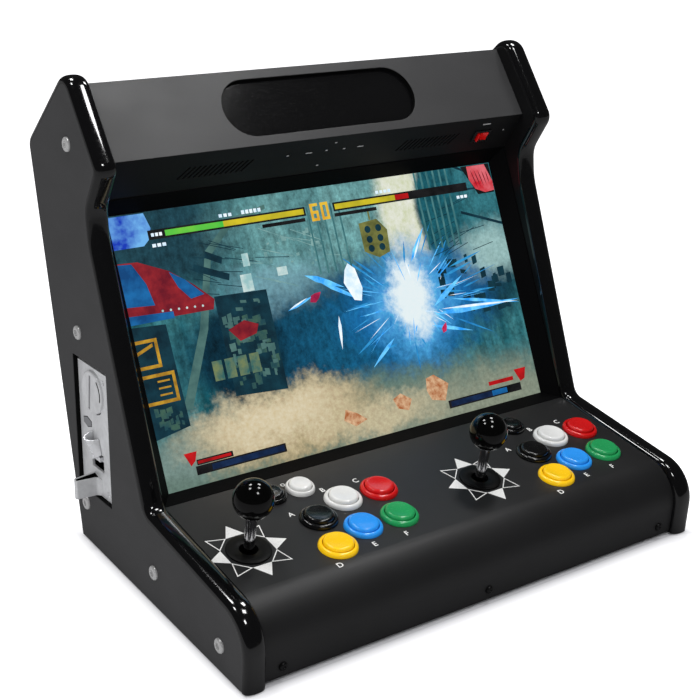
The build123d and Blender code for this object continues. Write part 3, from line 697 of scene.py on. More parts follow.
# ---- Parts whose frame shape is right keep it and take a finish
kept = {
    "control_panel": panel_coat,
    "base_panel": rear_paint,
    "speaker_panel": speaker_paint,
    "top_rear_panel": top_paint,
    "rear_panel": rear_paint,
    "screen_bezel": bezel_plastic,
    "lcd_panel": lcd_black,
    "monitor_housing": steel,
    "microswitches": dark_plastic,
    "joystick_housings": housing_plastic,
    "p1_stick_gimbal": housing_plastic,
    "p2_stick_gimbal": housing_plastic,
    "rubber_feet": rubber,
    "cross_rails": rail_wood,
    "speakers": speaker_black,
    "power_inlet": rocker_black,
    "coin_plate": die_cast,
    "coin_reject_button": reject_painted_shade_metal,
    "coin_return_lever": lever_chrome,
    "coin_selector": coin_body,
    "coin_box": steel,
    "game_board": board_green,
    "power_supply": supply_steel,
}
for node, material in kept.items():
    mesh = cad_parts[node].data
    mesh.materials.clear()
    mesh.materials.append(material)


# ---- Case
def side_panels():
    """The two side boards, and a black lining in the coin unit's cut-out in the left one."""
    outline = round_corners(side_corners)
    turn = Matrix.Rotation(-coin_lean, 2)
    cut = [Vector(coin_centre) + turn @ p for p in rectangle(*cut_out, 0.6)]
    for side, name, holes in ((1, "right", []), (-1, "left", [cut])):
        verts, faces = plate(outline, holes, side_thickness, 0.5)
        part = ([at(side * (half_width + w), a, b) for a, b, w in verts], faces)
        nodes = [f"{name}_side_panel"]
        piece(f"{name}_side_board", part, side_laminate, stands_for=nodes, weighted=True)
    verts, faces = plate(inset(cut, -0.1), [inset(cut, 0.2)], side_thickness - 1.2, 0.05, steps=1)
    points = [at(-half_width + 0.6 - w, a, b) for a, b, w in verts]
    piece("cut_out_edge", (points, faces), black_paint_and_shade)


def edge_mouldings():
    """A domed strip swept round each side panel's edge."""
    toe, heel = (Vector(side_corners[i][:2]) for i in (0, -1))
    ordered = turned(round_corners(side_corners, step=5.0), True)
    start = min(range(len(ordered)), key=lambda i: (ordered[i] - toe).length)
    ordered = ordered[start:] + ordered[:start]
    rim = [toe] + [p for p in ordered if p.y > foot_height + 2.5] + [heel]
    section = []  # a dome that is a little squarer than a half circle
    for k in range(19):
        a = math.pi * k / 18
        across = math.copysign(abs(math.cos(a)) ** 0.82, math.cos(a)) * side_thickness / 2
        section.append((across, moulding_height * math.sin(a) ** 0.78))
    for side, name in ((1, "right"), (-1, "left")):
        verts = []
        for i, p in enumerate(rim):
            before = (p - rim[i - 1]).normalized() if i else (rim[1] - p).normalized()
            after = (rim[i + 1] - p).normalized() if i + 1 < len(rim) else before
            normal = (Vector((-before.y, before.x)) + Vector((-after.y, after.x))).normalized()
            normal /= max(0.5, normal.dot(Vector((-before.y, before.x))))
            if i in (0, len(rim) - 1):
                normal = Vector((math.copysign(1.0, normal.x), 0.0)) * abs(1 / normal.x)
            for across, height in section:
                q = p + normal * height
                x = side * (half_width - side_thickness / 2 + across)
                verts.append(at(x, q.x, max(q.y, foot_height)))
        n = len(section)
        faces = skin(len(rim), n)
        faces.append(tuple(range(n)))
        faces.append(tuple(range(len(verts) - n, len(verts))))
        node = f"{name}_edge_moulding"
        piece(f"{name}_edge_trim", (verts, faces), edge_trim, stands_for=[node], sharp=50)


def marquee():
    """The board with its stadium opening, and the dark window set into it."""
    width = 2 * (half_width - side_thickness - panel_gap)
    middle = (0.0, marquee_length / 2)
    slot_width, slot_height = marquee_slot
    face = rectangle(width, marquee_length, 0.0, centre=middle)
    opening = rectangle(slot_width, slot_height, slot_radius, centre=middle)
    board_mesh = placed(plate(face, [opening], board, 0.3), marquee_plane)
    piece("marquee_board", board_mesh, case_paint, stands_for=["marquee_panel"], weighted=True)
    edge = plate(inset(opening, -0.1), [inset(opening, 0.2)], board - 0.6, 0.05, steps=1)
    edge = placed(edge, marquee_plane @ Matrix.Translation((0, 0, -0.4)))
    piece("marquee_opening_edge", edge, black_paint_and_shade)
    pane_size = (slot_width - 2 * window_gap, slot_height - 2 * window_gap)
    pane = plate(rectangle(*pane_size, slot_radius - window_gap, centre=middle), [], 2.5, 0.3)
    pane = placed(pane, marquee_plane @ Matrix.Translation((0, 0, -window_setback)))
    piece("marquee_pane", pane, smoked, stands_for=["marquee_window"], weighted=True)


# ---- Controls
# The two sizes of push button: radii, and how deep each one reaches below the panel
big = {"rim": 17.5, "barrel": 14.9, "bore": 13.7, "plunger": 13.3, "depth": 20.0}
small = {"rim": 13.6, "barrel": 11.8, "bore": 10.8, "plunger": 10.4, "depth": 18.0}
# Player one's large buttons and the small ones, by their x and y on the control panel
big_buttons = [
    ("a", -121.0, 91.9, "black"),
    ("b", -84.7, 107.1, "white"),
    ("c", -46.0, 106.1, "red"),
    ("d", -128.5, 51.8, "yellow"),
    ("e", -92.6, 65.5, "blue"),
    ("f", -53.5, 65.4, "green"),
]
small_buttons = [
    ("p1_start_button", -110.0, 138.0, "white"),
    ("p1_coin_button", -139.5, 138.0, "black"),
    ("p2_start_button", 140.4, 138.0, "black"),
]
rim_height = 4.0
plunger_top = 7.0
plunger_rounding = 2.4
plunger_dish = 0.55


def all_buttons():
    """Every push button: its body, x, y, colour and size."""
    found = []
    for player, shift in (("p1", 0.0), ("p2", player_shift)):
        for letter, x, y, colour in big_buttons:
            found.append((f"{player}_button_{letter}", x + shift, y, colour, big))
    for name, x, y, colour in small_buttons:
        found.append((name, x, y, colour, small))
    return found


def collar(size):
    """A smoothly domed rim on a barrel, with the nut below the panel."""
    outer, inner, barrel = size["rim"], size["bore"], size["barrel"]
    rim = []
    for k in range(13):
        a = math.pi * k / 24
        across = (outer - inner - 0.9) * (1 - math.cos(a)) ** 0.95
        rim.append((outer - across, rim_height * math.sin(a) ** 0.85))
    rim += [(inner + 0.5, rim_height - 0.1), (inner + 0.15, rim_height - 0.4), (inner, rim_height - 1.0)]
    below = [(inner, -size["depth"]), (barrel, -size["depth"]), (barrel, -7.0), (barrel + 2.2, -6.8)]
    below += [(barrel + 2.2, -2.2), (barrel, -2.0), (barrel, 0.0)]
    return lathe(rim + below, closed=True)


def plunger(size):
    """A cap with a rounded edge and a shallow dish in its top."""
    r = size["plunger"]
    skirt = size["depth"] - 6.0
    profile = [(0.0, plunger_top - plunger_dish)]
    for k in range(1, 9):
        x = k / 9
        profile.append((x * (r - plunger_rounding - 0.3), plunger_top - plunger_dish * (1 - x * x)))
    for k in range(9):
        a = math.radians(90 * k / 8)
        edge = (r - plunger_rounding * (1 - math.sin(a)), plunger_top - plunger_rounding * (1 - math.cos(a)))
        profile.append(edge)
    profile += [(r, 0.0), (r, -skirt + 0.4), (r - 0.4, -skirt), (0.0, -skirt)]
    return lathe(profile)


def buttons():
    """The collars, one piece for each colour, and a cap for each button."""
    for colour, plastic in button_plastic.items():
        rims = [placed(collar(s), on_control(x, y)) for _, x, y, c, s in all_buttons() if c == colour]
        node = f"button_collars_{colour}"
        piece(f"collars_{colour}", joined(*rims), plastic, stands_for=[node])
    for name, x, y, colour, size in all_buttons():
        cap = placed(plunger(size), on_control(x, y))
        plastic = button_plastic[colour]
        piece(f"{name}_cap", cap, plastic, body=name, stands_for=[name])


def joysticks():
    """Ball tops and shafts, which ride on the sticks, and the dust washers, which stay."""
    washers = []
    for player, x in (("p1", -stick_x), ("p2", player_shift - stick_x)):
        pivot = on_control(x, stick_y, -pivot_depth)
        centre = pivot_depth + ball_height
        top = centre - ball_radius + 6.0  # of the shaft, inside the ball
        mouth = math.asin(shaft_radius / ball_radius)
        ball = [(0.0, centre + ball_radius)]
        for k in range(1, 40):
            a = (math.pi - mouth) * k / 39
            ball.append((ball_radius * math.sin(a), centre + ball_radius * math.cos(a)))
        ball += [(shaft_radius, top), (0.0, top)]
        node = f"{player}_ball_top"
        body = f"{player}_stick"
        piece(f"{player}_ball", placed(lathe(ball, 72), pivot), ball_black, body, [node])
        shaft = [(0.0, top), (shaft_radius, top), (shaft_radius, -12.6), (7.0, -12.6)]
        shaft += [(7.0, -19.2), (6.7, -19.5), (0.0, -19.5)]
        pin = [(0.0, -10.5), (1.7, -10.5), (2.0, -10.2), (2.0, 10.2), (1.7, 10.5), (0.0, 10.5)]
        cross = placed(lathe(pin, 20), Matrix.Rotation(math.radians(90), 4, "X"))
        node = f"{player}_stick_shaft"
        steel_part = placed(joined(lathe(shaft, 40), cross), pivot)
        piece(f"{player}_shaft", steel_part, chrome, body, [node])
        ring = [(8.3, 0.0), (8.1, 0.3), (8.1, 1.3), (8.4, 1.5)]
        ring += [(18.9, 1.5), (19.3, 1.3), (19.5, 0.9), (19.5, 0.0)]
        washers.append(placed(lathe(ring, 72, closed=True), on_control(x, stick_y)))
    piece("washers", joined(*washers), washer_black, stands_for=["dust_washers"])


def star_marks():
    """Eight-pointed stars round the joysticks, every other point filled, and one small ring."""
    base_radius = 23.6
    line = 0.9
    shapes = []
    for x in (-stick_x, player_shift - stick_x):
        place = on_control(x, stick_y)
        for k in range(8):
            middle = math.radians(45 * k)
            half = math.radians(22.5)
            ends = [Vector((math.cos(a), math.sin(a))) * base_radius for a in (middle - half, middle + half)]
            filled = k % 2 == 0
            tip_radius = 37.2 if filled else 37.6
            tip = Vector((math.cos(middle), math.sin(middle))) * tip_radius
            corners = turned([ends[0], tip, ends[1]], False)
            holes = [] if filled else [inset(corners, line)]
            shapes.append(placed(polygon_slab(corners, 0.02, 0.12, holes), place))
    ring = polygon_slab(circle(2.2, 20), 0.02, 0.12, [circle(1.4, 20)])
    shapes.append(placed(ring, on_control(-121.1, 149.2)))
    piece("star_marks", joined(*shapes), white_ink)


def letter_marks():
    """A white letter beside each large button."""
    places = {
        "A": (-139.2, 107.6),
        "B": (-93.2, 127.1),
        "C": (-57.1, 126.8),
        "D": (-141.5, 30.0),
        "E": (-98.0, 40.9),
        "F": (-63.7, 41.2),
    }
    letter_size = 8.2
    for player, shift in (("p1", 0.0), ("p2", player_shift - 1.2)):
        for letter, (x, y) in places.items():
            curve = bpy.data.curves.new(f"{player}_mark_{letter}", "FONT")
            curve.body = letter
            curve.size = letter_size
            curve.offset = 0.12
            curve.extrude = 0.05
            curve.align_x = "CENTER"
            curve.align_y = "CENTER"
            curve.resolution_u = 6
            text = bpy.data.objects.new(curve.name + "_text", curve)
            bpy.context.scene.collection.objects.link(text)
            bpy.context.view_layer.update()
            mesh = bpy.data.meshes.new_from_object(text)
            bpy.data.objects.remove(text)
            part = ([v.co.copy() for v in mesh.vertices], [tuple(f.vertices) for f in mesh.polygons])
            bpy.data.meshes.remove(mesh)
            part = placed(part, on_control(x + shift, y, 0.07))
            piece(f"{player}_mark_{letter}", part, white_ink)


# ---- Fixings
# Where the side boards' bolts are: y and z
bolt_places = [(295.5, 369.4), (283.5, 203.7), (273.3, 39.5), (143.8, 33.8), (34.3, 25.5)]


def bolt():
    """A button-head machine screw, its socket drawn as a round recess."""
    profile = [(0.0, 0.9), (2.6, 0.9), (2.75, 2.3), (3.0, 2.55)]
    for k in range(8):
        a = math.radians(90 * k / 7)
        profile.append((3.4 + 3.1 * math.sin(a), 2.6 - 1.9 * (1 - math.cos(a))))
    profile += [(6.5, 0.0), (3.0, 0.0), (3.0, -31.6), (2.6, -32.0), (0.0, -32.0)]
    return lathe(profile, 36)


def bolts():
    """Five bolts through each side board."""
    heads = []
    for side in (-1, 1):
        for y, z in bolt_places:
            heads.append(placed(bolt(), plane((side * half_width, y, z), (0, 0, 1), (side, 0, 0))))
    piece("bolts", joined(*heads), zinc, stands_for=["side_bolts"])


def panel_screw(head_height, length, radius):
    """A pan-head screw, its drive drawn as a shallow round dimple."""
    profile = [(0.0, head_height - 1.0), (0.9, head_height - 0.9), (1.5, head_height)]
    for k in range(7):
        a = math.radians(90 * k / 6)
        profile.append((2.0 + 2.0 * math.sin(a), head_height - 0.9 * head_height * (1 - math.cos(a))))
    profile += [(4.0, 0.0), (radius, 0.0), (radius, -length), (0.0, -length)]
    return lathe(profile, 28)


# ---- Fittings on the speaker board
def speaker_fittings():
    """The power switch, the row of screen keys, and the small printed marks."""
    rim = raised(plate(rectangle(21.4, 15.2, 1.2), [rectangle(15.6, 10.6, 0.4)], 1.8, 0.35), 1.8)
    well = raised(plate(rectangle(19.0, 12.8, 0.6), [rectangle(15.4, 10.4, 0.4)], 15.8, 0.1), -0.1)
    well_floor = box((19.0, 12.8, 1.0), (0, 0, -15.4), 0.2)
    place = speaker_plane @ Matrix.Translation((rocker_x, speaker_row, 0))
    surround = placed(joined(rim, well, well_floor), place)
    nodes = ["power_switch_frame"]
    piece("switch_frame", surround, rocker_black, stands_for=nodes, weighted=True)

    # the rocker is a shallow V, tilted to its "on" side
    outline = [(-7.0, 3.4, 0.5), (-3.5, 2.1, 6.0), (0.0, 1.5, 3.0), (3.5, 2.1, 6.0), (7.0, 3.4, 0.5)]
    outline += [(6.2, -1.2, 0.3), (0.0, -4.0, 1.0), (-6.2, -1.2, 0.3)]
    verts, faces = plate(round_corners(outline, step=15.0), [], 9.8, 0.35)
    turn = Matrix.Rotation(math.radians(8.0), 4, "Y")
    verts = [tuple(turn @ Vector((a, 4.9 + w, b))) for a, b, w in verts]
    rocker = placed((verts, faces), place)
    piece("rocker", rocker, rocker_red, "power_rocker", ["power_rocker"])

    cap = lathe([(0.0, 0.1), (1.9, 0.1), (2.1, -0.1), (2.1, -board - 1.0), (0.0, -board - 1.0)], 24)
    places = [(key_pitch * (i - 2) + key_shift, key_row, 0) for i in range(5)]
    caps = [placed(cap, Matrix.Translation(where)) for where in places]
    strip = box((100.0, 12.0, 2.0), (key_shift, key_row, -board - 1.0), 0.3)
    row = placed(joined(strip, *caps), speaker_plane)
    piece("display_keys", row, dark_plastic, stands_for=["display_buttons"])

    labels = [(-46.5, 27.5, 2.6), (-23.2, 27.7, 7.0), (-3.7, 28.5, 2.4), (3.7, 37.3, 2.6)]
    labels += [(16.6, 27.8, 2.6), (35.5, 28.2, 7.0), (-6.8, 9.6, 2.4)]
    marks = [polygon_slab(bar(u - wide / 2, v - 0.6, wide, 1.2), 0.12, 0.18) for u, v, wide in labels]
    marks.append(polygon_slab(bar(184.0, 36.4, 10.0, 1.4), 0.02, 0.1))
    marks.append(polygon_slab(circle(0.9, 16, (217.0, 26.0)), 0.02, 0.1))
    piece("board_marks", placed(joined(*marks), speaker_plane), grey_ink)


# ---- The lit picture: flat layers over the screen, in millimetres from its middle
picture_half = (screen_width / 2 - 0.3, screen_height / 2 - 0.3)
layer_thickness = 0.03
burst_centre = Vector((84.0, 0.0))
chance = random.Random(5)  # a fixed seed, so that every run scatters the same things

pole = glowing("pole", (92, 132, 126), (60, 96, 96), 40.0)
dark = glowing("dark", (14, 40, 52), (22, 62, 76), 60.0)
windows = glowing("windows", (226, 240, 236), (160, 204, 206), 90.0)
far_wall = glowing("far_wall", (86, 140, 142), (40, 96, 104), 55.0, stretch=(6.0, 1.0, 1.0))
awning_blue = glowing("awning_blue", (30, 112, 178), (16, 72, 128), 50.0)
awning_red = glowing("awning_red", (158, 40, 48), (110, 24, 40), 70.0)
sign = glowing("signs", (214, 166, 52), (150, 108, 34), 80.0)
shelf = glowing("shelf", (128, 140, 92), (52, 104, 104), 70.0)
olive = glowing("olive", (134, 136, 74), (92, 96, 52), 70.0)
cyan = glowing("cyan", (120, 214, 255), (40, 150, 240), 70.0, strength=1.1)
white = glowing("white", (248, 252, 255), (196, 226, 250), 90.0, strength=1.1)
pink = glowing("pink", (216, 48, 96), (150, 30, 70), 90.0)
deep = glowing("deep_blue", (30, 118, 190), (60, 170, 230), 60.0)
pale_wall = glowing("pale_wall", (150, 190, 186), (84, 136, 140), 60.0)
mossy = glowing("moss", (70, 104, 88), (34, 74, 84), 70.0)
rubble = glowing("rubble", (176, 104, 62), (230, 190, 150), 160.0)
black = glowing("black", (16, 16, 18), (34, 34, 36), 60.0)
green = glowing("green", (60, 196, 74), (120, 214, 70), 30.0)
yellow = glowing("yellow", (226, 206, 44), (186, 176, 44), 40.0)
red = glowing("red", (204, 26, 30), (150, 16, 22), 60.0)
navy = glowing("navy", (28, 52, 92), (18, 32, 60), 60.0)
blaze = glowing("blaze", (24, 60, 190), (120, 190, 250), 45.0)
glow_red = glowing("glow", (206, 30, 44), (236, 120, 130), 45.0)
amber = glowing("amber", (248, 212, 70), (226, 160, 40), 50.0)


def layer(name, shapes, material, level):
    """Flat shapes of the picture, each a list of corners, at one height over the screen."""
    verts, faces = joined(*[polygon_slab(shape, level, level + layer_thickness) for shape in shapes])
    verts = [(a / 1000, b / 1000, w / 1000) for a, b, w in verts]
    local = screen_plane @ Matrix.Scale(1000, 4)
    piece(f"picture_{name}", (verts, faces), material, local=local)


def dashes(count, u, v, pitch, width, height):
    """A row of upright rectangles."""
    return [bar(u + pitch * i, v, width, height) for i in range(count)]


def street():
    """The backdrop, then the lamp post, stalls, lit windows and ribbed walls in front of it."""
    half_w, half_h = picture_half
    layer("backdrop", [bar(-half_w, -half_h, 2 * half_w, 2 * half_h)], street_picture(), 0.05)
    post = [(-188, -56), (-178, -56), (-146, 10), (-126, 78), (-132, 80), (-154, 12)]
    arm = [(-132, 80), (-126, 76), (-98, 100), (-60, 110), (-60, 114), (-100, 106)]
    layer("poles", [post, arm, bar(-219, 104, 152, 1.6)], pole, 0.10)
    stalls = [
        [(-133, 38), (-78, 36), (-78, -58), (-133, -54)],
        [(-219, 24), (-186, 22), (-184, -70), (-219, -76)],
        [(-146, 70), (-112, 56), (-114, 50), (-148, 64)],
        [(-132, 80), (-116, 72), (-118, 66), (-134, 74)],
        bar(164, 98, 55, 1.8),
        [(168, 78), (219, 60), (219, 57), (168, 75)],
        [(176, 123), (219, 104), (219, 101), (170, 123)],
    ]
    layer("stalls", stalls, dark, 0.12)
    layer("windows", [bar(-102, 37, 12, 16), bar(-62, 46, 11, 8), bar(-96, 60, 7, 12)], windows, 0.14)
    layer("ribs", dashes(6, 118, 44, 8, 2.4, 79) + dashes(5, -16, 40, 9, 2.0, 66), far_wall, 0.11)


def awning():
    """The striped parasol at the left edge, with a row of light spots along its rim."""
    top = [(-219, 81), (-200, 80), (-172, 68), (-150, 52), (-133, 36), (-136, 27), (-219, 28)]
    layer("awning_top", [top], awning_red, 0.16)
    stripes = [
        [(-219, 80), (-206, 79), (-196, 60), (-192, 40), (-219, 42)],
        [(-172, 67), (-158, 58), (-142, 42), (-156, 40), (-166, 52)],
        [(-219, 34), (-176, 32), (-176, 26), (-219, 26)],
    ]
    layer("awning_stripes", stripes, awning_blue, 0.18)
    spots = [circle(1.1, 10, (-186 + 8 * i, 34 - 0.4 * i)) for i in range(6)]
    layer("awning_spots", spots, windows, 0.20)


def signs():
    """Framed signs with plain lines on them, a shelf of goods, and the hanging lamp box."""
    layer("sign_frames", [bar(-219, -14, 21, 26), bar(-219, -46, 31, 27)], sign, 0.16)
    layer("sign_faces", [bar(-219, -11, 18, 20), bar(-219, -43, 28, 21)], dark, 0.18)
    lines = [bar(-206, -27 - 6 * i, 12, 1.6) for i in range(3)]
    layer("sign_lines", lines + [[(-219, 2), (-203, 8), (-203, 5), (-219, -1)]], sign, 0.20)
    layer("shelves", dashes(4, -150, -37, 13, 10, 18), shelf, 0.16)
    lamp = [(40, 82), (62, 84), (72, 72), (70, 50), (56, 46), (40, 54)]
    layer("lamp_box", [lamp, bar(53, 84, 2, 10)], olive, 0.16)
    layer("lamp_lights", [circle(3.6, 14, (u, v)) for u in (49, 62) for v in (56, 65, 75)], dark, 0.18)


def burst():
    """Bright streaks round the burst of light, sparks, embers and a flag, then its thrown rays."""
    streaks = [
        ((-60, 12), (-28, 22), 3.4),
        ((-34, 42), (8, 24), 6.0),
        ((-20, 34), (26, 8), 4.4),
        ((92, 36), (116, 68), 5.0),
        ((108, -12), (152, 14), 5.5),
        ((106, -20), (219, -22), 7.0),
        ((132, -8), (219, -26), 3.4),
        ((52, -34), (20, -58), 4.0),
        ((100, -30), (150, -44), 4.0),
    ]
    layer("streaks", [streak(*row) for row in streaks], cyan, 0.10)
    sparks = [
        streak((-58, 13), (-36, 21), 1.6),
        streak((116, -16), (219, -24), 2.6),
        [(8, 28), (12, 40), (17, 46), (24, 40), (28, 20), (24, 8), (16, 10)],
        streak((96, 38), (110, 60), 2.0),
        streak((-6, -2), (-10, -34), 3.6),
    ]
    layer("sparks", sparks, white, 0.13)
    layer("embers", [streak((-34, 16), (-20, 24), 8.0), streak((112, -40), (118, -30), 6.0)], pink, 0.15)
    layer("flag", [[(-126, 6), (-108, 12), (-94, 6), (-98, -2), (-116, -6)]], awning_red, 0.15)
    layer("rays_deep", rays(30, 34.0, 46.0, 2.2), deep, 0.075)
    layer("rays_bright", rays(26, 26.0, 44.0, 1.2), cyan, 0.085)
    layer("rays_white", rays(16, 24.0, 26.0, 0.9), white, 0.095)


def rays(count, near, far, thick):
    """Thin spindles thrown out of the burst at random, kept inside the picture."""
    half_w, half_h = picture_half
    found = []
    for _ in range(count):
        turn = chance.uniform(0, 2 * math.pi)
        way = Vector((1.35 * math.cos(turn), 0.75 * math.sin(turn)))
        begin = near * chance.uniform(0.8, 1.7)
        end = begin + far * chance.uniform(0.2, 1.0)
        start, finish = burst_centre + way * begin, burst_centre + way * end
        finish += Vector((chance.uniform(-8, 8), chance.uniform(-8, 8)))
        if abs(finish.x) < half_w - 3 and abs(finish.y) < half_h - 30:
            found.append(streak(start, finish, thick * chance.uniform(0.4, 1.3)))
    return found


def scatter(count, low, high, sizes, lean):
    """Small leaning blocks placed at random between two corners."""
    found = []
    for _ in range(count):
        u = chance.uniform(low[0], high[0])
        v = chance.uniform(low[1], high[1])
        wide = chance.uniform(*sizes)
        tall = chance.uniform(*sizes)
        slant = lean * chance.uniform(-1, 1)
        found.append([(u, v), (u + wide, v + slant), (u + wide, v + tall + slant), (u, v + tall)])
    return found


def wires(count, low, high, drop):
    """Thin slanting wires placed at random between two corners."""
    found = []
    for _ in range(count):
        u = chance.uniform(low[0], high[0] - 40)
        v = chance.uniform(low[1], high[1])
        reach = chance.uniform(24, 40)
        fall = drop * chance.uniform(0.3, 1.0)
        found.append([(u, v), (u + reach, v - fall), (u + reach, v - fall - 0.7), (u, v - 0.7)])
    return found


def clutter():
    """Wires, lit windows and goods scattered over the street, and debris thrown on the ground."""
    layer("wires_left", wires(12, (-176, 44), (-30, 92), 16.0), dark, 0.105)
    layer("wires_right", wires(12, (116, 34), (217, 84), -14.0), dark, 0.105)
    layer("far_windows", scatter(26, (-74, 40), (-6, 84), (1.6, 5.0), 1.0), pale_wall, 0.107)
    layer("wires_pale", wires(10, (-120, 46), (40, 94), 18.0), pale_wall, 0.109)
    layer("stall_goods", scatter(34, (-131, -52), (-86, 12), (2.5, 9.0), 1.0), mossy, 0.145)
    layer("stall_goods_dark", scatter(30, (-131, -52), (-86, 30), (2.0, 8.0), 1.0), pole, 0.147)
    layer("kerb_goods", scatter(20, (-217, -72), (-190, -48), (2.0, 7.0), 1.0), mossy, 0.149)
    layer("far_shade", scatter(30, (120, -30), (214, 26), (3.0, 11.0), 2.0), dark, 0.070)
    stones = [
        [(-26, -100), (-22, -90), (-10, -96), (0, -104), (-14, -108)],
        [(34, -92), (44, -88), (56, -96), (50, -106), (38, -102)],
        [(78, -80), (88, -78), (104, -90), (96, -106), (80, -102), (76, -92)],
    ]
    layer("rubble", stones, rubble, 0.13)


def gauges():
    """The players' gauges along the top and the bottom, with plain dashes where names would be."""
    frames = [bar(-184, 97.5, 167, 8.6), bar(15, 97.5, 168, 8.6)]
    frames += [bar(-67, 92.2, 48, 3.4), bar(15, 92.2, 50, 3.4)]
    frames += [bar(-188, -114, 94, 8), bar(99, -115, 96, 8), bar(-186, -105.5, 37, 5.0)]
    layer("gauge_frames", frames, black, 0.22)
    layer("gauge_green", [bar(-167, 99.2, 60, 5.2)], green, 0.24)
    layer("gauge_yellow", [bar(-107, 99.2, 88, 5.2), bar(17, 99.2, 73, 5.2)], yellow, 0.24)
    low_red = [bar(-185, -104.3, 34, 2.6), bar(154, -103, 33, 4.0)]
    layer("gauge_red", [bar(90, 99.2, 17, 5.2)] + low_red, red, 0.24)
    layer("gauge_navy", [bar(-172, -112.6, 76, 5.2), bar(102, -113.6, 54, 5.2)], navy, 0.24)
    layer("gauge_cyan", [bar(156, -113.6, 20, 5.2)], awning_blue, 0.24)
    marks = dashes(3, -182, 90.6, 5, 3.6, 3.0) + dashes(3, 167, 90.6, 5, 3.6, 3.0)
    marks += dashes(3, -110, 108, 5.0, 3.4, 3.0) + dashes(5, -86, 108, 4.4, 3.2, 3.6)
    marks += dashes(4, 68, 108, 5.0, 3.4, 3.0) + dashes(3, -181, 100.2, 4.0, 2.8, 3.0)
    layer("small_marks", marks, white, 0.26)


def corner_plates():
    """A blue blaze at the upper left, a folded red disc at the upper right, and two low badges."""
    left = [(-219, 122), (-184, 122), (-180, 108), (-184, 98), (-190, 93), (-219, 93)]
    layer("corner_left", [left], blaze, 0.20)
    layer("corner_right_back", [[(180, 122.5), (218, 122.5), (218, 92), (196, 92)]], black, 0.19)
    right = [(188, 122), (212, 122), (218.4, 104), (218.4, 94), (206, 93), (194, 98), (188, 108)]
    layer("corner_right", [right], glow_red, 0.20)
    folds = [streak((192 + 5 * i, 119 - i), (198 + 4 * i, 97 + i), 1.4) for i in range(5)]
    layer("corner_folds", folds, awning_red, 0.22)
    badges = [[(-197, -93), (-184, -93), (-187, -101), (-192, -105), (-194, -100)]]
    badges += [[(190, -93), (206, -93), (202, -104), (196, -106), (193, -100)]]
    layer("badges", badges, red, 0.26)


def countdown():
    """The number between the gauges, in seven-segment digits."""
    six = ("top", "upper_left", "middle", "lower_left", "lower_right", "bottom")
    zero = ("top", "upper_left", "upper_right", "lower_left", "lower_right", "bottom")
    foot, wide, tall, thick = 91, 9.0, 17.0, 2.8
    level_of = {"top": tall - thick, "middle": (tall - thick) / 2, "bottom": 0.0}
    segments = []
    for left, digit in ((-11.5, six), (0.5, zero)):
        for part in digit:
            if part in level_of:
                segments.append(bar(left, foot + level_of[part], wide, thick))
            else:
                low = tall / 2 if part.startswith("upper") else 0.0
                side = wide - thick if part.endswith("right") else 0.0
                segments.append(bar(left + side, foot + low, thick, tall / 2))
    layer("countdown", segments, amber, 0.28)


# ---- Coin unit
def coin_painted_shade():
    """Painted shade on the coin plate: a dark line round the reject button's gap, a dark arc on the coin
    entry boss's front edge, and a painted shadow at its foot.
    """
    half_w, half_h = 8.3, 5.3
    end = half_h / 2
    points = [(-half_w, end), (-half_w, -end), (0, -half_h), (half_w, -end), (half_w, end), (0, half_h)]
    outline = [Vector((reject_centre[0] + a, reject_centre[1] + b)) for a, b in points]
    lines = [polygon_slab(outline, 0.01, 0.06, [inset(outline, 0.75)])]
    # painted shade on the boss's rounded front edge, then a painted shadow on the plate at the boss's foot
    for first, last, inner, outer, level in ((-14, 50, 16.5, 18.3, 2.51), (-78, -50, 20.1, 20.9, 0.02)):
        steps = (last - first) // 4
        turns = [math.radians(first + 4 * k) for k in range(steps + 1)]
        outside = [entry_centre + Vector((math.cos(a), math.sin(a))) * outer for a in turns]
        inside = [entry_centre + Vector((math.cos(a), math.sin(a))) * inner for a in reversed(turns)]
        lines.append(polygon_slab(outside + inside, level, level + 0.05))
    piece("coin_plate_painted_shade", placed(joined(*lines), coin_plane), black_paint_and_shade)


def cup_painted_shade():
    """A thin black sheet inside the return cup, up to its slanting rim: painted shade in the cup's hollow.
    """
    outline = turned(round_corners(cup_corners), False)
    outside = inset(outline, cup_wall + 0.05)
    inside = inset(outline, cup_wall + 0.3)
    floor_level = cup_floor + cup_wall + 0.1

    def rim_level(u):
        return cup_rim - cup_rim_fall * (u - cup_corners[0][0]) - 0.4

    verts = [(u, floor_level, w) for u, w in outside]
    verts += [(u, rim_level(u), w) for u, w in outside]
    verts += [(u, rim_level(u), w) for u, w in inside]
    verts += [(u, floor_level + 0.3, w) for u, w in inside]
    n = len(outline)
    faces = skin(4, n)
    faces.append(tuple(range(n)))
    faces.append(tuple(range(3 * n, 4 * n)))
    piece("cup_painted_shade", placed((verts, faces), coin_plane), black_paint_and_shade)


def screws():
    """Three screws along the control panel's front edge, and six in the rear board."""
    rear_along = (Vector(side_corners[-1][:2]) - shoulder).normalized()
    rear_inset = Vector((rear_along.y, -rear_along.x))
    rear_top = meet(apex, (shoulder - apex).normalized(), shoulder + rear_inset, rear_along)
    rear_foot = meet(rear_top, rear_along, Vector((0, foot_height + 1)), Vector((1, 0)))
    rear_plane = plane((0, *rear_foot), (-1, 0, 0), (0, -rear_along.y, rear_along.x))
    rear_height = (rear_top - rear_foot).length
    front = [plane((x, 0, front_screw_height), (1, 0, 0), (0, -1, 0)) for x in screw_row]
    rows = (rear_screw_margin, rear_height - rear_screw_margin)
    rear = [Matrix.Translation((x, up, 0)) for x in screw_row for up in rows]
    found = [placed(panel_screw(2.4, 2.0, 2.0), place) for place in front]
    found += [placed(panel_screw(2.0, 5.0, 1.6), rear_plane @ place) for place in rear]
    piece("screws", joined(*found), black_oxide, stands_for=["panel_screws"])


side_panels()
edge_mouldings()
coin_painted_shade()
cup_painted_shade()
marquee()
buttons()
joysticks()
star_marks()
letter_marks()
bolts()
speaker_fittings()
street()
awning()
signs()
burst()
clutter()
gauges()
corner_plates()
countdown()
screws()


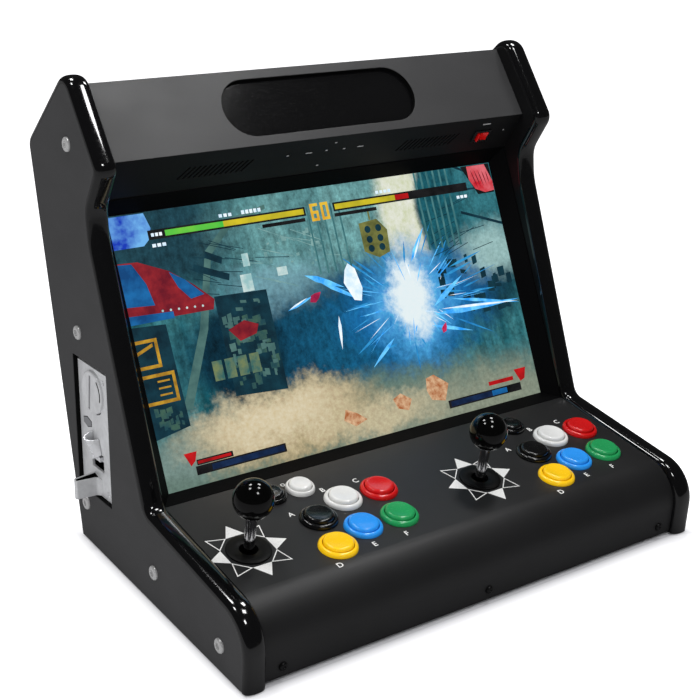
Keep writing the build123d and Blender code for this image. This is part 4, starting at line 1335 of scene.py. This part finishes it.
# ---- Floor, light and camera
def floor():
    """A pale, faintly glowing sheet.

    Its glow fades out towards the cabinet's foot, so that it is darker close to it: a painted shadow there.
    It is also darker in reflections and bounced light, so that it doesn't light the cabinet from below.
    """
    t = Tree("floor")
    from_middle = t.math("ABSOLUTE", t.math("SUBTRACT", t.across("X"), middle_x))
    foot_back = front_y + side_corners[-1][0] / 1000
    foot_middle = (cad_low.y + foot_back) / 2
    from_foot = t.math("ABSOLUTE", t.math("SUBTRACT", t.across("Y"), foot_middle))
    beside = t.math("MULTIPLY", t.math("SUBTRACT", from_middle, half_width / 1000), 2.0)
    before = t.math("SUBTRACT", from_foot, (foot_back - cad_low.y) / 2)
    away = t.math("MAXIMUM", beside, before)
    # the glow fades out towards the cabinet's foot: a painted shadow round it
    glow = t.math("POWER", t.spread(away, -0.004, 0.045), 0.5)
    path = t.add("ShaderNodeLightPath")
    in_gloss = t.spread(path.outputs["Is Glossy Ray"], 0.0, 1.0, 1.0, 0.16)
    in_bounces = t.spread(path.outputs["Is Diffuse Ray"], 0.0, 1.0, 1.0, 0.7)
    held_back = t.math("MULTIPLY", in_gloss, in_bounces)
    pale = t.mix(t.noise(3.0, 2.0), (0.66, 0.66, 0.69, 1.0), (0.69, 0.69, 0.72, 1.0))
    t.set(Base_Color=t.mix(held_back, no_light, pale), Roughness=0.8, Specular_IOR_Level=0.2)
    t.set(Emission_Color=(1.0, 1.0, 1.0, 1.0), Emission_Strength=t.math("MULTIPLY", glow, held_back))
    mesh = bpy.data.meshes.new("floor")
    reach = 30.0
    corners = [(-reach, -reach, 0), (reach, -reach, 0), (reach, reach, 0), (-reach, reach, 0)]
    mesh.from_pydata(corners, [], [(0, 1, 2, 3)])
    mesh.materials.append(t.material)
    ground = bpy.data.objects.new("floor", mesh)
    bpy.context.scene.collection.objects.link(ground)


# Where the camera stands in the cabinet's own coordinates, and its axes
camera_place = (-720.75, -743.2, 655.7)
yaw, pitch, roll = (math.radians(a) for a in (36.33, 22.02, -2.95))
camera_forward = Vector((math.sin(yaw) * math.cos(pitch), math.cos(yaw) * math.cos(pitch), -math.sin(pitch)))
level_right = Vector((math.cos(yaw), -math.sin(yaw), 0.0))
level_up = level_right.cross(camera_forward)
camera_right = level_right * math.cos(roll) - level_up * math.sin(roll)
camera_up = camera_right.cross(camera_forward)

# Where each panel light stands, seen from player one's ball top: right, up and back to the camera
panel_light_reach = 1.3  # metres from the ball top
panel_light_ways = [
    (-0.21, 0.98, -0.02),
    (-0.25, 0.885, 0.394),
    (0.345, 0.92, -0.18),
    (0.42, 0.876, 0.22),
    (0.42, 0.60, 0.675),
]


def area_light(name, place, target, size, energy):
    """A rectangular lamp that faces its target."""
    data = bpy.data.lights.new(name, "AREA")
    data.shape = "RECTANGLE"
    data.size, data.size_y = size
    data.energy = energy
    light = bpy.data.objects.new(name, data)
    light.location = place
    light.rotation_mode = "QUATERNION"
    light.rotation_quaternion = (Vector(target) - Vector(place)).to_track_quat("-Z", "Y")
    bpy.context.scene.collection.objects.link(light)
    return light


def studio():
    """Five small panel lights overhead, a broad fill from the left, and an even surround.

    The surround is bright where the camera sees it, softer as a light, and dim in reflections.
    """
    world = bpy.data.worlds.new("studio")
    bpy.context.scene.world = world
    world.use_nodes = True
    nodes, links = world.node_tree.nodes, world.node_tree.links
    background = nodes["Background"]
    background.inputs["Color"].default_value = (1.0, 1.0, 1.0, 1.0)
    path = nodes.new("ShaderNodeLightPath")
    strengths = {"lighting": 0.42, "reflected": 0.03, "seen": 1.1}
    previous = None
    for ray, name in (("Is Glossy Ray", "reflected"), ("Is Camera Ray", "seen")):
        choose = nodes.new("ShaderNodeMix")
        choose.data_type = "FLOAT"
        choose.inputs[2].default_value = strengths["lighting"]
        choose.inputs[3].default_value = strengths[name]
        links.new(path.outputs[ray], choose.inputs[0])
        if previous:
            links.new(previous, choose.inputs[2])
        previous = choose.outputs[0]
    links.new(previous, background.inputs["Strength"])

    ball = on_control(-stick_x, stick_y, ball_height).translation
    for i, (right, up, back) in enumerate(panel_light_ways):
        way = camera_right * right + camera_up * up - camera_forward * back
        place = ball + way.normalized() * panel_light_reach
        area_light(f"panel_light_{i}", place, ball, (0.2, 0.2), 2.6)
    fill = area_light("fill", (-2.2, -0.6, 0.9), (0, 0, 0.2), (1.6, 1.2), 22)
    fill.visible_glossy = False
    bpy.context.scene.view_settings.view_transform = "Standard"


def camera():
    """A long lens to the front left of the cabinet, at the viewing angle above."""
    data = bpy.data.cameras.new("camera")
    data.lens = 70.0
    data.sensor_width = 36.0
    data.shift_x = 0.0123
    data.shift_y = -0.0136
    cam = bpy.data.objects.new("camera", data)
    turn = Matrix((camera_right, camera_up, -camera_forward)).transposed().to_4x4()
    cam.matrix_world = Matrix.Translation(at(*camera_place)) @ turn
    bpy.context.scene.collection.objects.link(cam)
    bpy.context.scene.camera = cam


floor()
studio()
camera()
